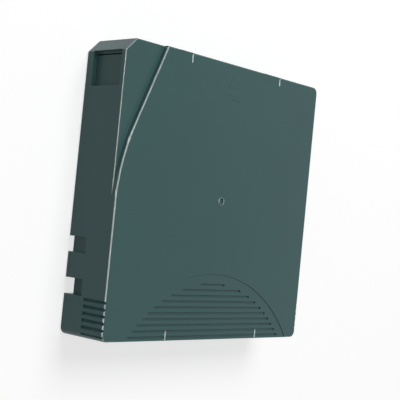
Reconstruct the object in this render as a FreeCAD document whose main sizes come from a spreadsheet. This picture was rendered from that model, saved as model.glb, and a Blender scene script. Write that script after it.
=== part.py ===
import FreeCAD
import Part
import Sketcher
import math
import os
import re

# A half-inch, single-reel data tape cartridge, closed, lying on its lower shell.
# Frame: origin at the base on the hub's axis, +Z up, +Y towards the end that goes into a drive first,
# -Y the label end, -X the side with the sliding door. Millimetres.

SIZES = {
    # case
    "case_width": 105.4,
    "case_depth": 102.0,
    "case_height": 21.5,
    "floor_wall": 1.75,
    "side_wall": 1.9,
    "corner_round": 2.5,
    "corner_cut": 4.6,
    "edge_round": 0.55,
    "lip_wall": 0.8,
    "lip_height": 0.9,
    "lip_play": 0.1,
    # wedge-shaped recess over the door corner
    "wedge_depth": 2.0,
    "wedge_wall": 1.3,
    "wedge_step_wall": 1.5,
    "wedge_front_in": 17.8,
    "wedge_bend_in": 5.7,
    "wedge_bend_back": 28.5,
    "wedge_long": 54.0,
    "wedge_curve": 70.0,
    "recess_round": 0.35,
    # thumb grip on the lid
    "grip_radius": 56.8,
    "grip_centre_past": 32.7,
    "grip_drop": 0.25,
    "grip_inset": 3.6,
    "grip_pitch": 2.09,
    "grip_rows": 10,
    "grip_groove": 0.8,
    "grip_depth": 0.55,
    # side serrations
    "side_grip_pitch": 2.3,
    "side_grip_count": 6,
    "side_grip_up": 13.0,
    "side_grip_width": 1.3,
    "side_grip_depth": 0.7,
    # how far a wall runs into the one that carries it, and a cutter past a face
    "join": 0.2,
    "past": 1.0,
    # shallow marks on the lid
    "gate_radius": 1.0,
    "edge_mark_drop": 0.35,
    "edge_mark_long": 3.5,
    "front_mark_left_x": -25.6,
    "front_mark_left_wide": 6.8,
    "front_mark_right_x": 23.0,
    "front_mark_right_wide": 9.8,
    "rear_mark_left_x": -26.0,
    "rear_mark_left_wide": 6.8,
    "rear_mark_right_x": 24.5,
    "rear_mark_right_wide": 5.4,
    # opening for the drive's chuck
    "hub_opening": 20.4,
    "hub_rim": 22.4,
    "hub_rim_height": 0.6,
    # reel
    "tape_width": 12.65,
    "tape_gap": 12.9,
    "hub_radius": 22.0,
    "hub_bore": 18.9,
    "reel_play": 0.7,
    "flange_thick": 1.2,
    "pack_inset": 1.55,
    "hub_floor_top": 5.5,
    "hub_floor_thick": 1.5,
    "weld_ring_wall": 1.2,
    "weld_ring_height": 0.9,
    "weld_play": 0.05,
    "gear_inner": 16.4,
    "gear_outer": 19.6,
    "gear_tip_z": 1.2,
    "gear_teeth": 48,
    "gear_tooth_deep": 1.7,
    "gear_gap_wide": 1.7,
    "plate_inner": 7.0,
    "plate_outer": 15.6,
    "plate_thick": 1.2,
    "spline_count": 12,
    "spline_high": 0.7,
    "spline_wide": 1.0,
    "spline_above": 2.5,
    # brake
    "brake_inner": 13.2,
    "brake_outer": 16.8,
    "brake_tip_z": 8.2,
    "brake_teeth": 36,
    "brake_tooth_deep": 1.4,
    "brake_gap_wide": 1.9,
    "brake_play": 0.2,
    "brake_tooth_cut": 0.3,
    "brake_lift": 1.6,
    "button_radius": 17.4,
    "button_thick": 1.4,
    "button_post": 5.5,
    "button_post_height": 5.8,
    "socket_floor": 1.0,
    "cross_arm_long": 7.6,
    "cross_arm_wide": 2.0,
    "cross_play": 0.15,
    "cross_end_gap": 0.4,
    "brake_wire": 0.45,
    "brake_coil": 7.4,
    "brake_turns": 4.5,
    "spring_guide_wall": 0.8,
    "spring_guide_height": 1.2,
    "spring_guide_play": 0.35,
    # release pad
    "pad_disc": 11.0,
    "pad_thick": 1.1,
    "pad_legs": 3,
    "pad_leg_wide": 5.0,
    "pad_leg_inner": 16.9,
    "pad_leg_outer": 18.5,
    "pad_leg_play": 0.3,
    "pad_foot_z": 1.5,
    "pad_dome": 2.4,
    "pad_dome_rise": 0.8,
    # guard arcs round the reel
    "guard_play": 0.7,
    "guard_wall": 1.2,
    # screws
    "boss_radius": 2.6,
    "screw_front_in": 11.2,
    "screw_front_left_in": 22.7,
    "screw_front_back": 7.5,
    "screw_front_left_back": 5.1,
    "screw_rear_in": 6.7,
    "screw_rear_left_in": 13.4,
    "screw_rear_up": 14.5,
    "screw_rear_left_up": 13.4,
    "screw_shank": 1.1,
    "screw_head": 2.0,
    "screw_head_high": 1.3,
    "screw_long": 13.5,
    "screw_play": 0.05,
    "screw_sink": 3.0,
    "screw_end_gap": 0.6,
    # locating holes in the base
    "locating_radius": 1.75,
    "locating_depth": 3.0,
    "locating_cap": 1.2,
    "locating_in": 9.7,
    "locating_back": 18.0,
    "locating_slot": 2.4,
    "locating_wall": 1.2,
    # grooves for a picker's fingers in the left side
    "notch_rear_up": 16.8,
    "notch_rear_wide": 5.6,
    "notch_rear_deep": 4.4,
    "notch_front_up": 31.1,
    "notch_front_wide": 5.4,
    "notch_front_deep": 2.4,
    "notch_high": 9.2,
    "notch_wall": 1.1,
    # tape exit and its door
    "exit_long": 12.2,
    "exit_back": 4.4,
    "exit_low_z": 3.4,
    "exit_high_z": 17.6,
    "door_thick": 1.2,
    "door_play": 0.1,
    "door_long": 14.0,
    "door_back": 5.7,
    "door_travel": 11.2,
    "rail_wall": 0.7,
    "rail_high": 1.6,
    "rail_past": 5.1,
    "door_wire": 0.2,
    "door_coil": 1.1,
    "door_turns": 9.5,
    "door_spring_shut": 7.5,
    "spring_post_thick": 1.2,
    "peg_radius": 0.65,
    "peg_long": 1.8,
    # leader
    "leader_inset": 5.5,
    "leader_thick": 0.12,
    "leader_gap": 0.3,
    "pin_inset": 7.0,
    "pin_shaft": 1.0,
    "pin_flange": 1.9,
    "pin_flange_thick": 0.7,
    "pin_tape_play": 0.08,
    "clip_outer": 1.75,
    "clip_end_gap": 0.4,
    "clip_mouth": 1.1,
    "seat_radius": 2.5,
    "leaf_thick": 0.25,
    "leaf_tongue": 2.2,
    "leaf_foot": 4.8,
    "leaf_bend": 3.2,
    "leaf_toe": 0.6,
    # write-protect tab
    "sense_in": 15.0,
    "sense_up": 4.6,
    "sense_long": 9.4,
    "sense_wide": 4.8,
    "tab_travel": 4.4,
    "tab_foot": 4.4,
    "tab_body": 8.0,
    "tab_high": 6.4,
    "tab_play": 0.1,
    "tab_thumb": 3.6,
    "tab_thumb_high": 3.2,
    "tab_set_back": 0.4,
    "tab_grooves": 3,
    "tab_groove": 0.6,
    "tab_groove_deep": 0.35,
    "rear_window_wide": 9.4,
    "rear_window_low": 2.6,
    "rear_window_high": 6.8,
    "pocket_rib": 1.1,
    # ribs and pegs behind the tray's front wall
    "rib_wall": 1.0,
    "gusset_left": 12.2,
    "gusset_long": 7.5,
    "gusset_deep": 7.6,
    "lead_rib_in": 4.5,
    "lead_rib_back": 13.0,
    "lead_rib_high": 1.6,
    "peg_tall": 6.0,
    "peg_front_radius": 0.9,
    "peg_front_back": 2.9,
    "peg_front_in": 20.4,
    "peg_front_apart": 6.4,
    # contactless memory
    "board_in": 15.7,
    "board_long": 15.0,
    "board_wide": 8.0,
    "board_thick": 0.8,
    "wedge_rib_high": 6.6,
    "wedge_rib_apart": 10.0,
    "chip_side": 3.2,
    "chip_thick": 0.7,
}

# places and sizes that follow the case or a neighbour, as formulas of the sheet
PLACES = {
    "flange_radius": "min(case_width; case_depth) / 2 - side_wall - reel_play",
    "pack_radius": "flange_radius - pack_inset",
    "wedge_front": "case_width / 2 - wedge_front_in",
    "wedge_bend_x": "case_width / 2 - wedge_bend_in",
    "wedge_bend_y": "case_depth / 2 - wedge_bend_back",
    "wedge_end_y": "case_depth / 2 - wedge_long",
    "grip_centre_y": "-case_depth / 2 - grip_centre_past",
    "grip_first_y": "grip_centre_y + grip_radius - grip_inset - grip_groove / 2",
    "side_grip_start_y": "side_grip_up - case_depth / 2",
    "screw_x_front": "case_width / 2 - screw_front_in",
    "screw_y_front": "case_depth / 2 - screw_front_back",
    "screw_x_front_left": "screw_front_left_in - case_width / 2",
    "screw_y_front_left": "case_depth / 2 - screw_front_left_back",
    "screw_x_rear": "case_width / 2 - screw_rear_in",
    "screw_y_rear": "screw_rear_up - case_depth / 2",
    "screw_x_rear_left": "screw_rear_left_in - case_width / 2",
    "screw_y_rear_left": "screw_rear_left_up - case_depth / 2",
    "locating_x": "case_width / 2 - locating_in",
    "locating_y": "case_depth / 2 - locating_back",
    "notch_rear_y": "notch_rear_up - case_depth / 2",
    "notch_front_y": "notch_front_up - case_depth / 2",
    "exit_front_y": "case_depth / 2 - exit_back",
    "exit_rear_y": "exit_front_y - exit_long",
    "door_front_y": "case_depth / 2 - door_back",
    "rail_rear_y": "door_front_y - door_long - door_travel - rail_past",
    "leader_x": "leader_inset - case_width / 2",
    "pin_y": "case_depth / 2 - pin_inset",
    "sense_x": "sense_in - case_width / 2",
    "sense_y": "sense_up - case_depth / 2",
    "board_x": "case_width / 2 - board_in",
}

document = FreeCAD.newDocument("TapeCartridge")
sheet = document.addObject("Spreadsheet::Sheet", "Sizes")
for row, (alias, number) in enumerate(SIZES.items(), start=1):
    sheet.set("A%d" % row, alias)
    sheet.set("B%d" % row, str(number))
    sheet.setAlias("B%d" % row, alias)
document.recompute()
for row, (alias, formula) in enumerate(PLACES.items(), start=len(SIZES) + 1):
    sheet.set("A%d" % row, alias)
    sheet.set("B%d" % row, "=" + formula)
    sheet.setAlias("B%d" % row, alias)
    document.recompute()

# heights and places that several pieces share, as expressions of the sheet's sizes
HALF_WIDE = "(case_width / 2)"
HALF_DEEP = "(case_depth / 2)"
SPLIT = "(case_height / 2)"
LID_UNDER = "(case_height - floor_wall)"
WEDGE_UNDER = "(case_height - wedge_depth - wedge_wall)"
INNER_X = "(case_width / 2 - side_wall)"
INNER_Y = "(case_depth / 2 - side_wall)"
TAPE_LOW = "(case_height / 2 - tape_width / 2)"
TAPE_HIGH = "(case_height / 2 + tape_width / 2)"
FLANGE_TOP = "(case_height / 2 - tape_gap / 2)"
UPPER_FLANGE = "(case_height / 2 + tape_gap / 2)"
HUB_SEAT = "(floor_wall + hub_rim_height)"
HUB_FLOOR_UNDER = "(hub_floor_top - hub_floor_thick)"
BRAKE_ROOT = "(brake_tip_z + brake_play)"
BUTTON_TOP = "(brake_tip_z + brake_play + button_thick)"
POST_TOP = "(brake_tip_z + brake_play + button_thick + button_post_height)"
GUARD_INNER = "(flange_radius + guard_play)"
GUARD_OUTER = "(flange_radius + guard_play + guard_wall)"
DOOR_OUTER = "(case_width / 2 - side_wall - door_play)"
DOOR_INNER = "(case_width / 2 - side_wall - door_play - door_thick)"
RAIL_OUTER = "(case_width / 2 - side_wall - 2 * door_play - door_thick)"
DOOR_LOW = "floor_wall"
DOOR_HIGH = "(case_height - wedge_depth - wedge_wall - door_play)"
DOOR_REAR = "(door_front_y - door_long)"
COIL_X = "(case_width / 2 - side_wall - door_play - door_coil - door_wire)"
PIN_X = "(leader_x + leader_thick / 2 + pin_shaft)"
PIN_LOW = "(case_height / 2 - tape_width / 2 - pin_tape_play - pin_flange_thick)"
PIN_HIGH = "(case_height / 2 + tape_width / 2 + pin_tape_play + pin_flange_thick)"
TAB_REST_X = "(sense_x - tab_travel / 2)"
SPRING_POST_Y = "(door_front_y - door_long - door_travel - door_spring_shut)"
CROSS_LOW = "(brake_tip_z + brake_play + button_thick + brake_lift + cross_end_gap + past)"
SPLINE_LOW = "(brake_tip_z + button_thick + spline_above)"
SCREWS = (
    ("screw_x_front", "screw_y_front"),
    ("screw_x_front_left", "screw_y_front_left"),
    ("screw_x_rear", "screw_y_rear"),
    ("screw_x_rear_left", "screw_y_rear_left"),
)
ALIASES = sorted(list(SIZES) + list(PLACES), key=len, reverse=True)
ALIAS = re.compile(r"\b(" + "|".join(ALIASES) + r")\b")


def bound(text):
    """An expression with every size's alias led back to the sheet."""
    return ALIAS.sub(r"Sizes.\1", text)


def value(text):
    """What an expression of the sheet's sizes comes to."""
    return float(sheet.evalExpression(bound(text)))


def minus(text):
    """The expression with its sign turned."""
    return "-(%s)" % text


# ---------------------------------------------------------------- sketches


def new_body(label):
    """An empty body whose label names the sub-part."""
    body = document.addObject("PartDesign::Body", label)
    body.Label = label
    return body


def new_sketch(body, name, plane="XY_Plane", offset="0"):
    """A sketch on one of the body's own origin planes, raised along its normal by offset."""
    sketch = body.newObject("Sketcher::SketchObject", name)
    face = [part for part in body.Origin.OriginFeatures if part.Role == plane][0]
    sketch.AttachmentSupport = (face, [""])
    sketch.MapMode = "FlatFace"
    sketch.setExpression("AttachmentOffset.Base.z", bound(offset))
    return sketch


def hold_point(sketch, element, end, place):
    """Ties a sketch point to a place given as a pair of expressions."""
    for kind, text in zip(("DistanceX", "DistanceY"), place):
        rule = Sketcher.Constraint(kind, -1, 1, element, end, value(text))
        index = sketch.addConstraint(rule)
        sketch.setExpression("Constraints[%d]" % index, bound(text))


def arc_between(start, end, radius, turn):
    """The short arc from start to end; turn is 1 for anticlockwise and -1 for clockwise."""
    chord = end - start
    across = FreeCAD.Vector(-chord.y, chord.x, 0).normalize()
    rise = math.sqrt(max(radius**2 - (chord.Length / 2) ** 2, 0.0))
    centre = start + chord / 2 + across * (rise * turn)
    first, last = (start, end) if turn > 0 else (end, start)
    low = math.atan2(first.y - centre.y, first.x - centre.x)
    high = math.atan2(last.y - centre.y, last.x - centre.x)
    if high < low:
        high += 2 * math.pi
    return Part.ArcOfCircle(Part.Circle(centre, FreeCAD.Vector(0, 0, 1), radius), low, high)


def add_outline(sketch, corners, arcs=None):
    """A closed outline through corners, each a pair of expressions. arcs says which sides are round:
    side number, counted from the corner it leaves, to (radius, turn)."""
    arcs = arcs or {}
    points = [FreeCAD.Vector(value(x), value(y), 0) for x, y in corners]
    count = len(points)
    ends = []
    for side, start in enumerate(points):
        end = points[(side + 1) % count]
        if side in arcs:
            radius, turn = arcs[side]
            index = sketch.addGeometry(arc_between(start, end, value(radius), turn))
            ends.append((index, 1, 2) if turn > 0 else (index, 2, 1))
        else:
            index = sketch.addGeometry(Part.LineSegment(start, end))
            ends.append((index, 1, 2))
    for side in range(count):
        here, there = ends[side], ends[(side + 1) % count]
        sketch.addConstraint(Sketcher.Constraint("Coincident", here[0], here[2], there[0], there[1]))
    for side, corner in enumerate(corners):
        hold_point(sketch, ends[side][0], ends[side][1], corner)
        if side in arcs:
            radius = arcs[side][0]
            rule = Sketcher.Constraint("Radius", ends[side][0], value(radius))
            index = sketch.addConstraint(rule)
            sketch.setExpression("Constraints[%d]" % index, bound(radius))


def add_box(sketch, low_x, low_y, high_x, high_y):
    """A rectangle between two opposite corners."""
    add_outline(sketch, ((low_x, low_y), (high_x, low_y), (high_x, high_y), (low_x, high_y)))


def add_circle(sketch, x, y, radius):
    """A circle about a place."""
    centre = FreeCAD.Vector(value(x), value(y), 0)
    index = sketch.addGeometry(Part.Circle(centre, FreeCAD.Vector(0, 0, 1), value(radius)))
    hold_point(sketch, index, 3, (x, y))
    rule = sketch.addConstraint(Sketcher.Constraint("Radius", index, value(radius)))
    sketch.setExpression("Constraints[%d]" % rule, bound(radius))


def add_stadium(sketch, left, right, low, high, y, radius):
    """A rectangle from left to right with a half-round at each end, each made of two quarter arcs."""
    end_left, end_right = "%s - %s" % (left, radius), "%s + %s" % (right, radius)
    corners = ((left, low), (right, low), (end_right, y), (right, high), (left, high), (end_left, y))
    quarter = (radius, 1)
    add_outline(sketch, corners, {1: quarter, 2: quarter, 4: quarter, 5: quarter})


# ---------------------------------------------------------------- features


def pad(body, sketch, length):
    """A pad along the sketch's normal."""
    feature = body.newObject("PartDesign::Pad", sketch.Name + "_pad")
    feature.Profile = sketch
    feature.setExpression("Length", bound(length))
    document.recompute()
    return feature


def pocket(body, sketch, depth, along_normal=False):
    """A pocket against the sketch's normal, or along it. It has to take material away."""
    before = body.Shape.Volume
    feature = body.newObject("PartDesign::Pocket", sketch.Name + "_pocket")
    feature.Profile = sketch
    feature.Reversed = along_normal
    feature.setExpression("Length", bound(depth))
    document.recompute()
    if not feature.Shape.Volume < before:
        raise RuntimeError("%s cut nothing" % feature.Name)
    return feature


def revolve(body, sketch):
    """A full turn of the sketch about its own vertical axis."""
    feature = body.newObject("PartDesign::Revolution", sketch.Name + "_turn")
    feature.Profile = sketch
    feature.ReferenceAxis = (sketch, ["V_Axis"])
    feature.Angle = 360
    document.recompute()
    return feature


def repeat_round(body, feature, count):
    """Copies of a feature evenly round the body's Z axis."""
    axis = [part for part in body.Origin.OriginFeatures if part.Role == "Z_Axis"][0]
    pattern = body.newObject("PartDesign::PolarPattern", feature.Name + "_round")
    pattern.Originals = [feature]
    pattern.Axis = (axis, [""])
    pattern.Angle = 360
    pattern.setExpression("Occurrences", bound(count))
    body.Tip = pattern
    document.recompute()
    return pattern


def repeat_along(body, feature, role, pitch, count, backwards=False):
    """Copies of a feature in a row along one of the body's axes."""
    axis = [part for part in body.Origin.OriginFeatures if part.Role == role][0]
    pattern = body.newObject("PartDesign::LinearPattern", feature.Name + "_row")
    pattern.Originals = [feature]
    pattern.Direction = (axis, [""])
    pattern.Reversed = backwards
    pattern.setExpression("Length", bound("%s * (%s - 1)" % (pitch, count)))
    pattern.setExpression("Occurrences", bound(count))
    body.Tip = pattern
    document.recompute()
    return pattern


# ---------------------------------------------------------------- case outline


def add_case_outline(sketch, inset="0"):
    """The case seen from above, moved in by inset: three round corners and one cut corner."""
    inset = "(%s)" % inset
    x, y = "(case_width / 2 - %s)" % inset, "(case_depth / 2 - %s)" % inset
    bend = "(corner_round - %s)" % inset if value(inset) < value("corner_round") else "0.5"
    slant = "(corner_cut - %s * (2 - sqrt(2)))" % inset
    corners = (
        ("-%s + %s" % (x, bend), minus(y)),
        ("%s - %s" % (x, bend), minus(y)),
        (x, "-%s + %s" % (y, bend)),
        (x, "%s - %s" % (y, bend)),
        ("%s - %s" % (x, bend), y),
        ("-%s + %s" % (x, slant), y),
        (minus(x), "%s - %s" % (y, slant)),
        (minus(x), "-%s + %s" % (y, bend)),
    )
    quarter = (bend, 1)
    add_outline(sketch, corners, {1: quarter, 3: quarter, 7: quarter})


def add_wedge_outline(sketch, inset, overhang):
    """The recess over the door corner: a straight step from the front edge that bends and runs out
    into the left edge. inset widens it inwards, overhang carries it past the case's edges."""
    left = "(-case_width / 2 - %s)" % overhang
    front = "(case_depth / 2 + %s)" % overhang
    slope = "((wedge_bend_x - wedge_front) / (case_depth / 2 - wedge_bend_y))"
    corners = (
        (left, "wedge_end_y - %s" % inset),
        ("-case_width / 2 + %s" % inset, "wedge_end_y - %s" % inset),
        ("-wedge_bend_x + %s" % inset, "wedge_bend_y - %s * 0.4" % inset),
        ("-wedge_front + %s * %s + %s" % (slope, overhang, inset), front),
        ("%s + corner_cut" % left, front),
        (left, "%s - corner_cut" % front),
    )
    add_outline(sketch, corners, {1: ("wedge_curve", -1)})


def add_guard(body, name, low, height, start, sweep):
    """A wall on a circle round the reel, from start degrees through sweep degrees."""
    angles = (start, start + sweep)
    inner = [("%s * cos(%s deg)" % (GUARD_INNER, a), "%s * sin(%s deg)" % (GUARD_INNER, a)) for a in angles]
    outer = [("%s * cos(%s deg)" % (GUARD_OUTER, a), "%s * sin(%s deg)" % (GUARD_OUTER, a)) for a in angles]
    wall = new_sketch(body, name, offset=low)
    corners = (inner[0], outer[0], outer[1], inner[1])
    add_outline(wall, corners, {1: (GUARD_OUTER, 1), 3: (GUARD_INNER, -1)})
    pad(body, wall, height)


GUARDS = (("guard_front", 111, 33), ("guard_rear_left", 209, 37), ("guard_rear_right", 286, 26))


# ---------------------------------------------------------------- shells


def ease_rim(body, block, name, height):
    """Rounds the outer edges of the case block that lie flat at a height."""
    level = value(height)
    rim = [
        "Edge%d" % number
        for number, edge in enumerate(block.Shape.Edges, start=1)
        if abs(edge.BoundBox.ZMin - level) < 1e-4 and abs(edge.BoundBox.ZMax - level) < 1e-4
    ]
    ease = body.newObject("PartDesign::Fillet", name)
    ease.Base = (block, rim)
    ease.setExpression("Radius", bound("edge_round"))
    document.recompute()


def add_guards(body, half, low, height):
    """The arcs that keep the reel off the case's corners."""
    for name, start, sweep in GUARDS:
        add_guard(body, "%s_%s" % (name, half), low, height, start, sweep)


def make_lower_shell():
    """The tray: floor, walls with a tongue round the rim, hub opening, guards, bosses and grooves."""
    body = new_body("lower_shell")
    block = new_sketch(body, "tray_block")
    add_case_outline(block)
    ease_rim(body, pad(body, block, SPLIT), "tray_edges", "0")
    hollow = new_sketch(body, "tray_hollow", offset=SPLIT)
    add_case_outline(hollow, "side_wall")
    pocket(body, hollow, SPLIT + " - floor_wall")
    lip = new_sketch(body, "tray_lip", offset=SPLIT + " - lip_height")
    add_case_outline(lip, "side_wall - lip_wall")
    add_case_outline(lip, "side_wall")
    pad(body, lip, "2 * lip_height")
    rim = new_sketch(body, "opening_rim")
    add_circle(rim, "0", "0", "hub_rim")
    pad(body, rim, HUB_SEAT)
    add_guards(body, "lower", "floor_wall", SPLIT + " - floor_wall")
    bosses = new_sketch(body, "lower_bosses")
    for x, y in SCREWS:
        add_circle(bosses, x, y, "boss_radius")
    pad(body, bosses, SPLIT)
    add_locating_pads(body)
    add_notch_housings(body)
    add_tab_pocket(body)
    add_board_ribs(body)
    add_pin_seat(body)
    add_door_rail(body, "lower_rail", "0", "floor_wall + rail_high")
    add_spring_post(body)
    add_front_ribs(body)
    cut_hub_opening(body)
    cut_screw_holes(body)
    cut_locating_holes(body)
    cut_notches(body)
    cut_sense_slot(body)
    cut_exit(body, "exit_lower", "exit_low_z", SPLIT + " + lip_height + past - exit_low_z")
    return body


def add_locating_pads(body):
    """Raised pads over the round hole and the slot that place the case in a drive."""
    pads = new_sketch(body, "locating_pads")
    wall = "(locating_radius + locating_wall)"
    add_circle(pads, "locating_x", "locating_y", wall)
    half = "(locating_slot / 2)"
    left, right = "-locating_x - %s" % half, "-locating_x + %s" % half
    low, high = "locating_y - %s" % wall, "locating_y + %s" % wall
    add_stadium(pads, left, right, low, high, "locating_y", wall)
    pad(body, pads, "locating_depth + locating_cap")


def cut_locating_holes(body):
    """A round hole at the right and a slot at the left, blind, from below."""
    holes = new_sketch(body, "locating_holes")
    add_circle(holes, "locating_x", "locating_y", "locating_radius")
    half = "(locating_slot / 2)"
    left, right = "-locating_x - %s" % half, "-locating_x + %s" % half
    low, high = "locating_y - locating_radius", "locating_y + locating_radius"
    add_stadium(holes, left, right, low, high, "locating_y", "locating_radius")
    pocket(body, holes, "locating_depth", along_normal=True)


def add_notch_housings(body):
    """Blocks inside the left wall behind the picker's grooves."""
    for name in ("rear", "front"):
        block = new_sketch(body, "notch_block_" + name)
        middle, wide, deep = ("notch_%s_%s" % (name, end) for end in ("y", "wide", "deep"))
        low = "%s - %s / 2 - notch_wall" % (middle, wide)
        high = "%s + %s / 2 + notch_wall" % (middle, wide)
        inner = "-%s + %s + notch_wall" % (HALF_WIDE, deep)
        add_box(block, "-%s - side_wall / 2" % INNER_X, low, inner, high)
        pad(body, block, SPLIT)


def cut_notches(body):
    """Two vertical grooves in the left side, open at the base."""
    for name in ("rear", "front"):
        groove = new_sketch(body, "notch_" + name)
        middle, wide, deep = ("notch_%s_%s" % (name, end) for end in ("y", "wide", "deep"))
        low, high = "%s - %s / 2" % (middle, wide), "%s + %s / 2" % (middle, wide)
        add_box(groove, "-%s - past" % HALF_WIDE, low, "-%s + %s" % (HALF_WIDE, deep), high)
        pocket(body, groove, "notch_high", along_normal=True)


def add_tab_pocket(body):
    """The rib that closes off the write-protect tab's pocket in the rear left corner."""
    rib = new_sketch(body, "tab_rib")
    front = "(sense_y + sense_wide / 2 + tab_play)"
    add_box(rib, "-%s - side_wall / 2" % INNER_X, front, "-case_width / 4", "%s + pocket_rib" % front)
    pad(body, rib, SPLIT)


def cut_sense_slot(body):
    """The slot under the tab and the window behind it in the rear wall."""
    slot = new_sketch(body, "sense_slot")
    radius = "(sense_wide / 2)"
    half = "(sense_long / 2 - %s)" % radius
    left, right = "sense_x - %s" % half, "sense_x + %s" % half
    low, high = "sense_y - %s" % radius, "sense_y + %s" % radius
    add_stadium(slot, left, right, low, high, "sense_y", radius)
    pocket(body, slot, "floor_wall", along_normal=True)
    window = new_sketch(body, "rear_window", offset="rear_window_low")
    half = "(rear_window_wide / 2)"
    rear, front = "-%s - past" % HALF_DEEP, "-%s + past" % INNER_Y
    add_box(window, "sense_x - %s" % half, rear, "sense_x + %s" % half, front)
    pocket(body, window, "rear_window_high - rear_window_low", along_normal=True)


def add_board_ribs(body):
    """Two sloped ribs that hold the memory board at 45 degrees in the rear right corner."""
    for name, side in (("left", "-1"), ("right", "1")):
        middle = "(board_x + %s * wedge_rib_apart / 2)" % side
        rib = new_sketch(body, "board_rib_" + name, "YZ_Plane", "%s - pocket_rib / 2" % middle)
        foot = "(floor_wall - join)"
        back = "(-%s - side_wall / 2)" % INNER_Y
        top = "(floor_wall + wedge_rib_high)"
        front = "(-%s + wedge_rib_high)" % INNER_Y
        corners = ((back, foot), (front + " + join", foot), (minus(INNER_Y), top), (back, top))
        add_outline(rib, corners)
        pad(body, rib, "pocket_rib")


def add_pin_seat(body):
    """The boss that the leader pin stands on, with a rim that keeps its foot in place."""
    seat = new_sketch(body, "pin_seat")
    add_circle(seat, PIN_X, "pin_y", "seat_radius")
    pad(body, seat, PIN_LOW)


def add_door_rail(body, name, low, high):
    """The low wall that keeps the door's edge against the side wall."""
    rail = new_sketch(body, name, offset=low)
    inner = "(%s - rail_wall)" % RAIL_OUTER
    add_box(rail, minus(RAIL_OUTER), "rail_rear_y", minus(inner), "exit_front_y - corner_cut / 2")
    pad(body, rail, "%s - %s" % (high, low))


def add_spring_post(body):
    """The post and peg that hold the fixed end of the door's spring."""
    post = new_sketch(body, "spring_post")
    inner = "(-%s + door_coil + door_wire)" % COIL_X
    rear = "(%s - spring_post_thick)" % SPRING_POST_Y
    add_box(post, "-%s + 2 * door_play" % INNER_X, rear, inner, SPRING_POST_Y)
    pad(body, post, SPLIT + " + door_coil + door_wire")
    peg = new_sketch(body, "spring_peg", "XZ_Plane", "spring_post_thick / 2 - " + SPRING_POST_Y)
    add_circle(peg, minus(COIL_X), SPLIT, "peg_radius")
    feature = pad(body, peg, "peg_long + spring_post_thick / 2")
    feature.Reversed = True
    document.recompute()


def add_strip(sketch, start, end, wide):
    """A straight rib's outline between two places, wide across."""
    run_x, run_y = "(%s - %s)" % (end[0], start[0]), "(%s - %s)" % (end[1], start[1])
    length = "sqrt(%s ^ 2 + %s ^ 2)" % (run_x, run_y)
    side_x, side_y = "(-%s / %s * %s / 2)" % (run_y, length, wide), "(%s / %s * %s / 2)" % (run_x, length, wide)
    low = [("%s - %s" % (x, side_x), "%s - %s" % (y, side_y)) for x, y in (start, end)]
    high = [("%s + %s" % (x, side_x), "%s + %s" % (y, side_y)) for x, y in (end, start)]
    add_outline(sketch, low + high)


def add_front_ribs(body):
    """The gusset and two pegs behind the front wall, and the low rib across the door corner."""
    gusset = new_sketch(body, "gusset", offset="floor_wall - join")
    wall = "(%s + join)" % INNER_Y
    left = "(gusset_left - case_width / 2)"
    right = "(%s + gusset_long)" % left
    tip = "(%s + gusset_long / 2)" % left
    apex = "(%s - gusset_deep)" % INNER_Y
    add_strip(gusset, (left, wall), (tip, apex), "rib_wall")
    pad(body, gusset, SPLIT + " - floor_wall + join")
    other = new_sketch(body, "gusset_right", offset="floor_wall - join")
    add_strip(other, (right, wall), (tip, apex), "rib_wall")
    pad(body, other, SPLIT + " - floor_wall + join")
    lead = new_sketch(body, "lead_rib", offset="floor_wall - join")
    corner = ("lead_rib_in - case_width / 2", "case_depth / 2 - lead_rib_back")
    add_strip(lead, (left, wall), corner, "rib_wall")
    pad(body, lead, "lead_rib_high + join")
    pegs = new_sketch(body, "front_pegs", offset="floor_wall - join")
    for step in (0, 1):
        x = "case_width / 2 - peg_front_in - %d * peg_front_apart" % step
        add_circle(pegs, x, "%s - peg_front_back" % INNER_Y, "peg_front_radius")
    pad(body, pegs, "peg_tall + join")


def cut_hub_opening(body):
    """The round opening through which the drive's chuck meets the hub."""
    opening = new_sketch(body, "hub_opening")
    add_circle(opening, "0", "0", "hub_opening")
    pocket(body, opening, HUB_SEAT, along_normal=True)


def cut_screw_holes(body):
    """Clearance holes through the bosses, sunk from below for the screws' heads."""
    holes = new_sketch(body, "screw_holes")
    sinks = new_sketch(body, "screw_sinks")
    for x, y in SCREWS:
        add_circle(holes, x, y, "screw_shank + screw_play")
        add_circle(sinks, x, y, "screw_head + 4 * screw_play")
    pocket(body, holes, SPLIT + " + lip_height", along_normal=True)
    pocket(body, sinks, "screw_sink", along_normal=True)


def cut_exit(body, name, low, height):
    """The tape exit through the left wall and the cut corner."""
    window = new_sketch(body, name, offset=low)
    add_box(window, "-%s - past" % HALF_WIDE, "exit_rear_y", "-%s + door_play" % INNER_X, "exit_front_y")
    pocket(body, window, height, along_normal=True)


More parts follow.
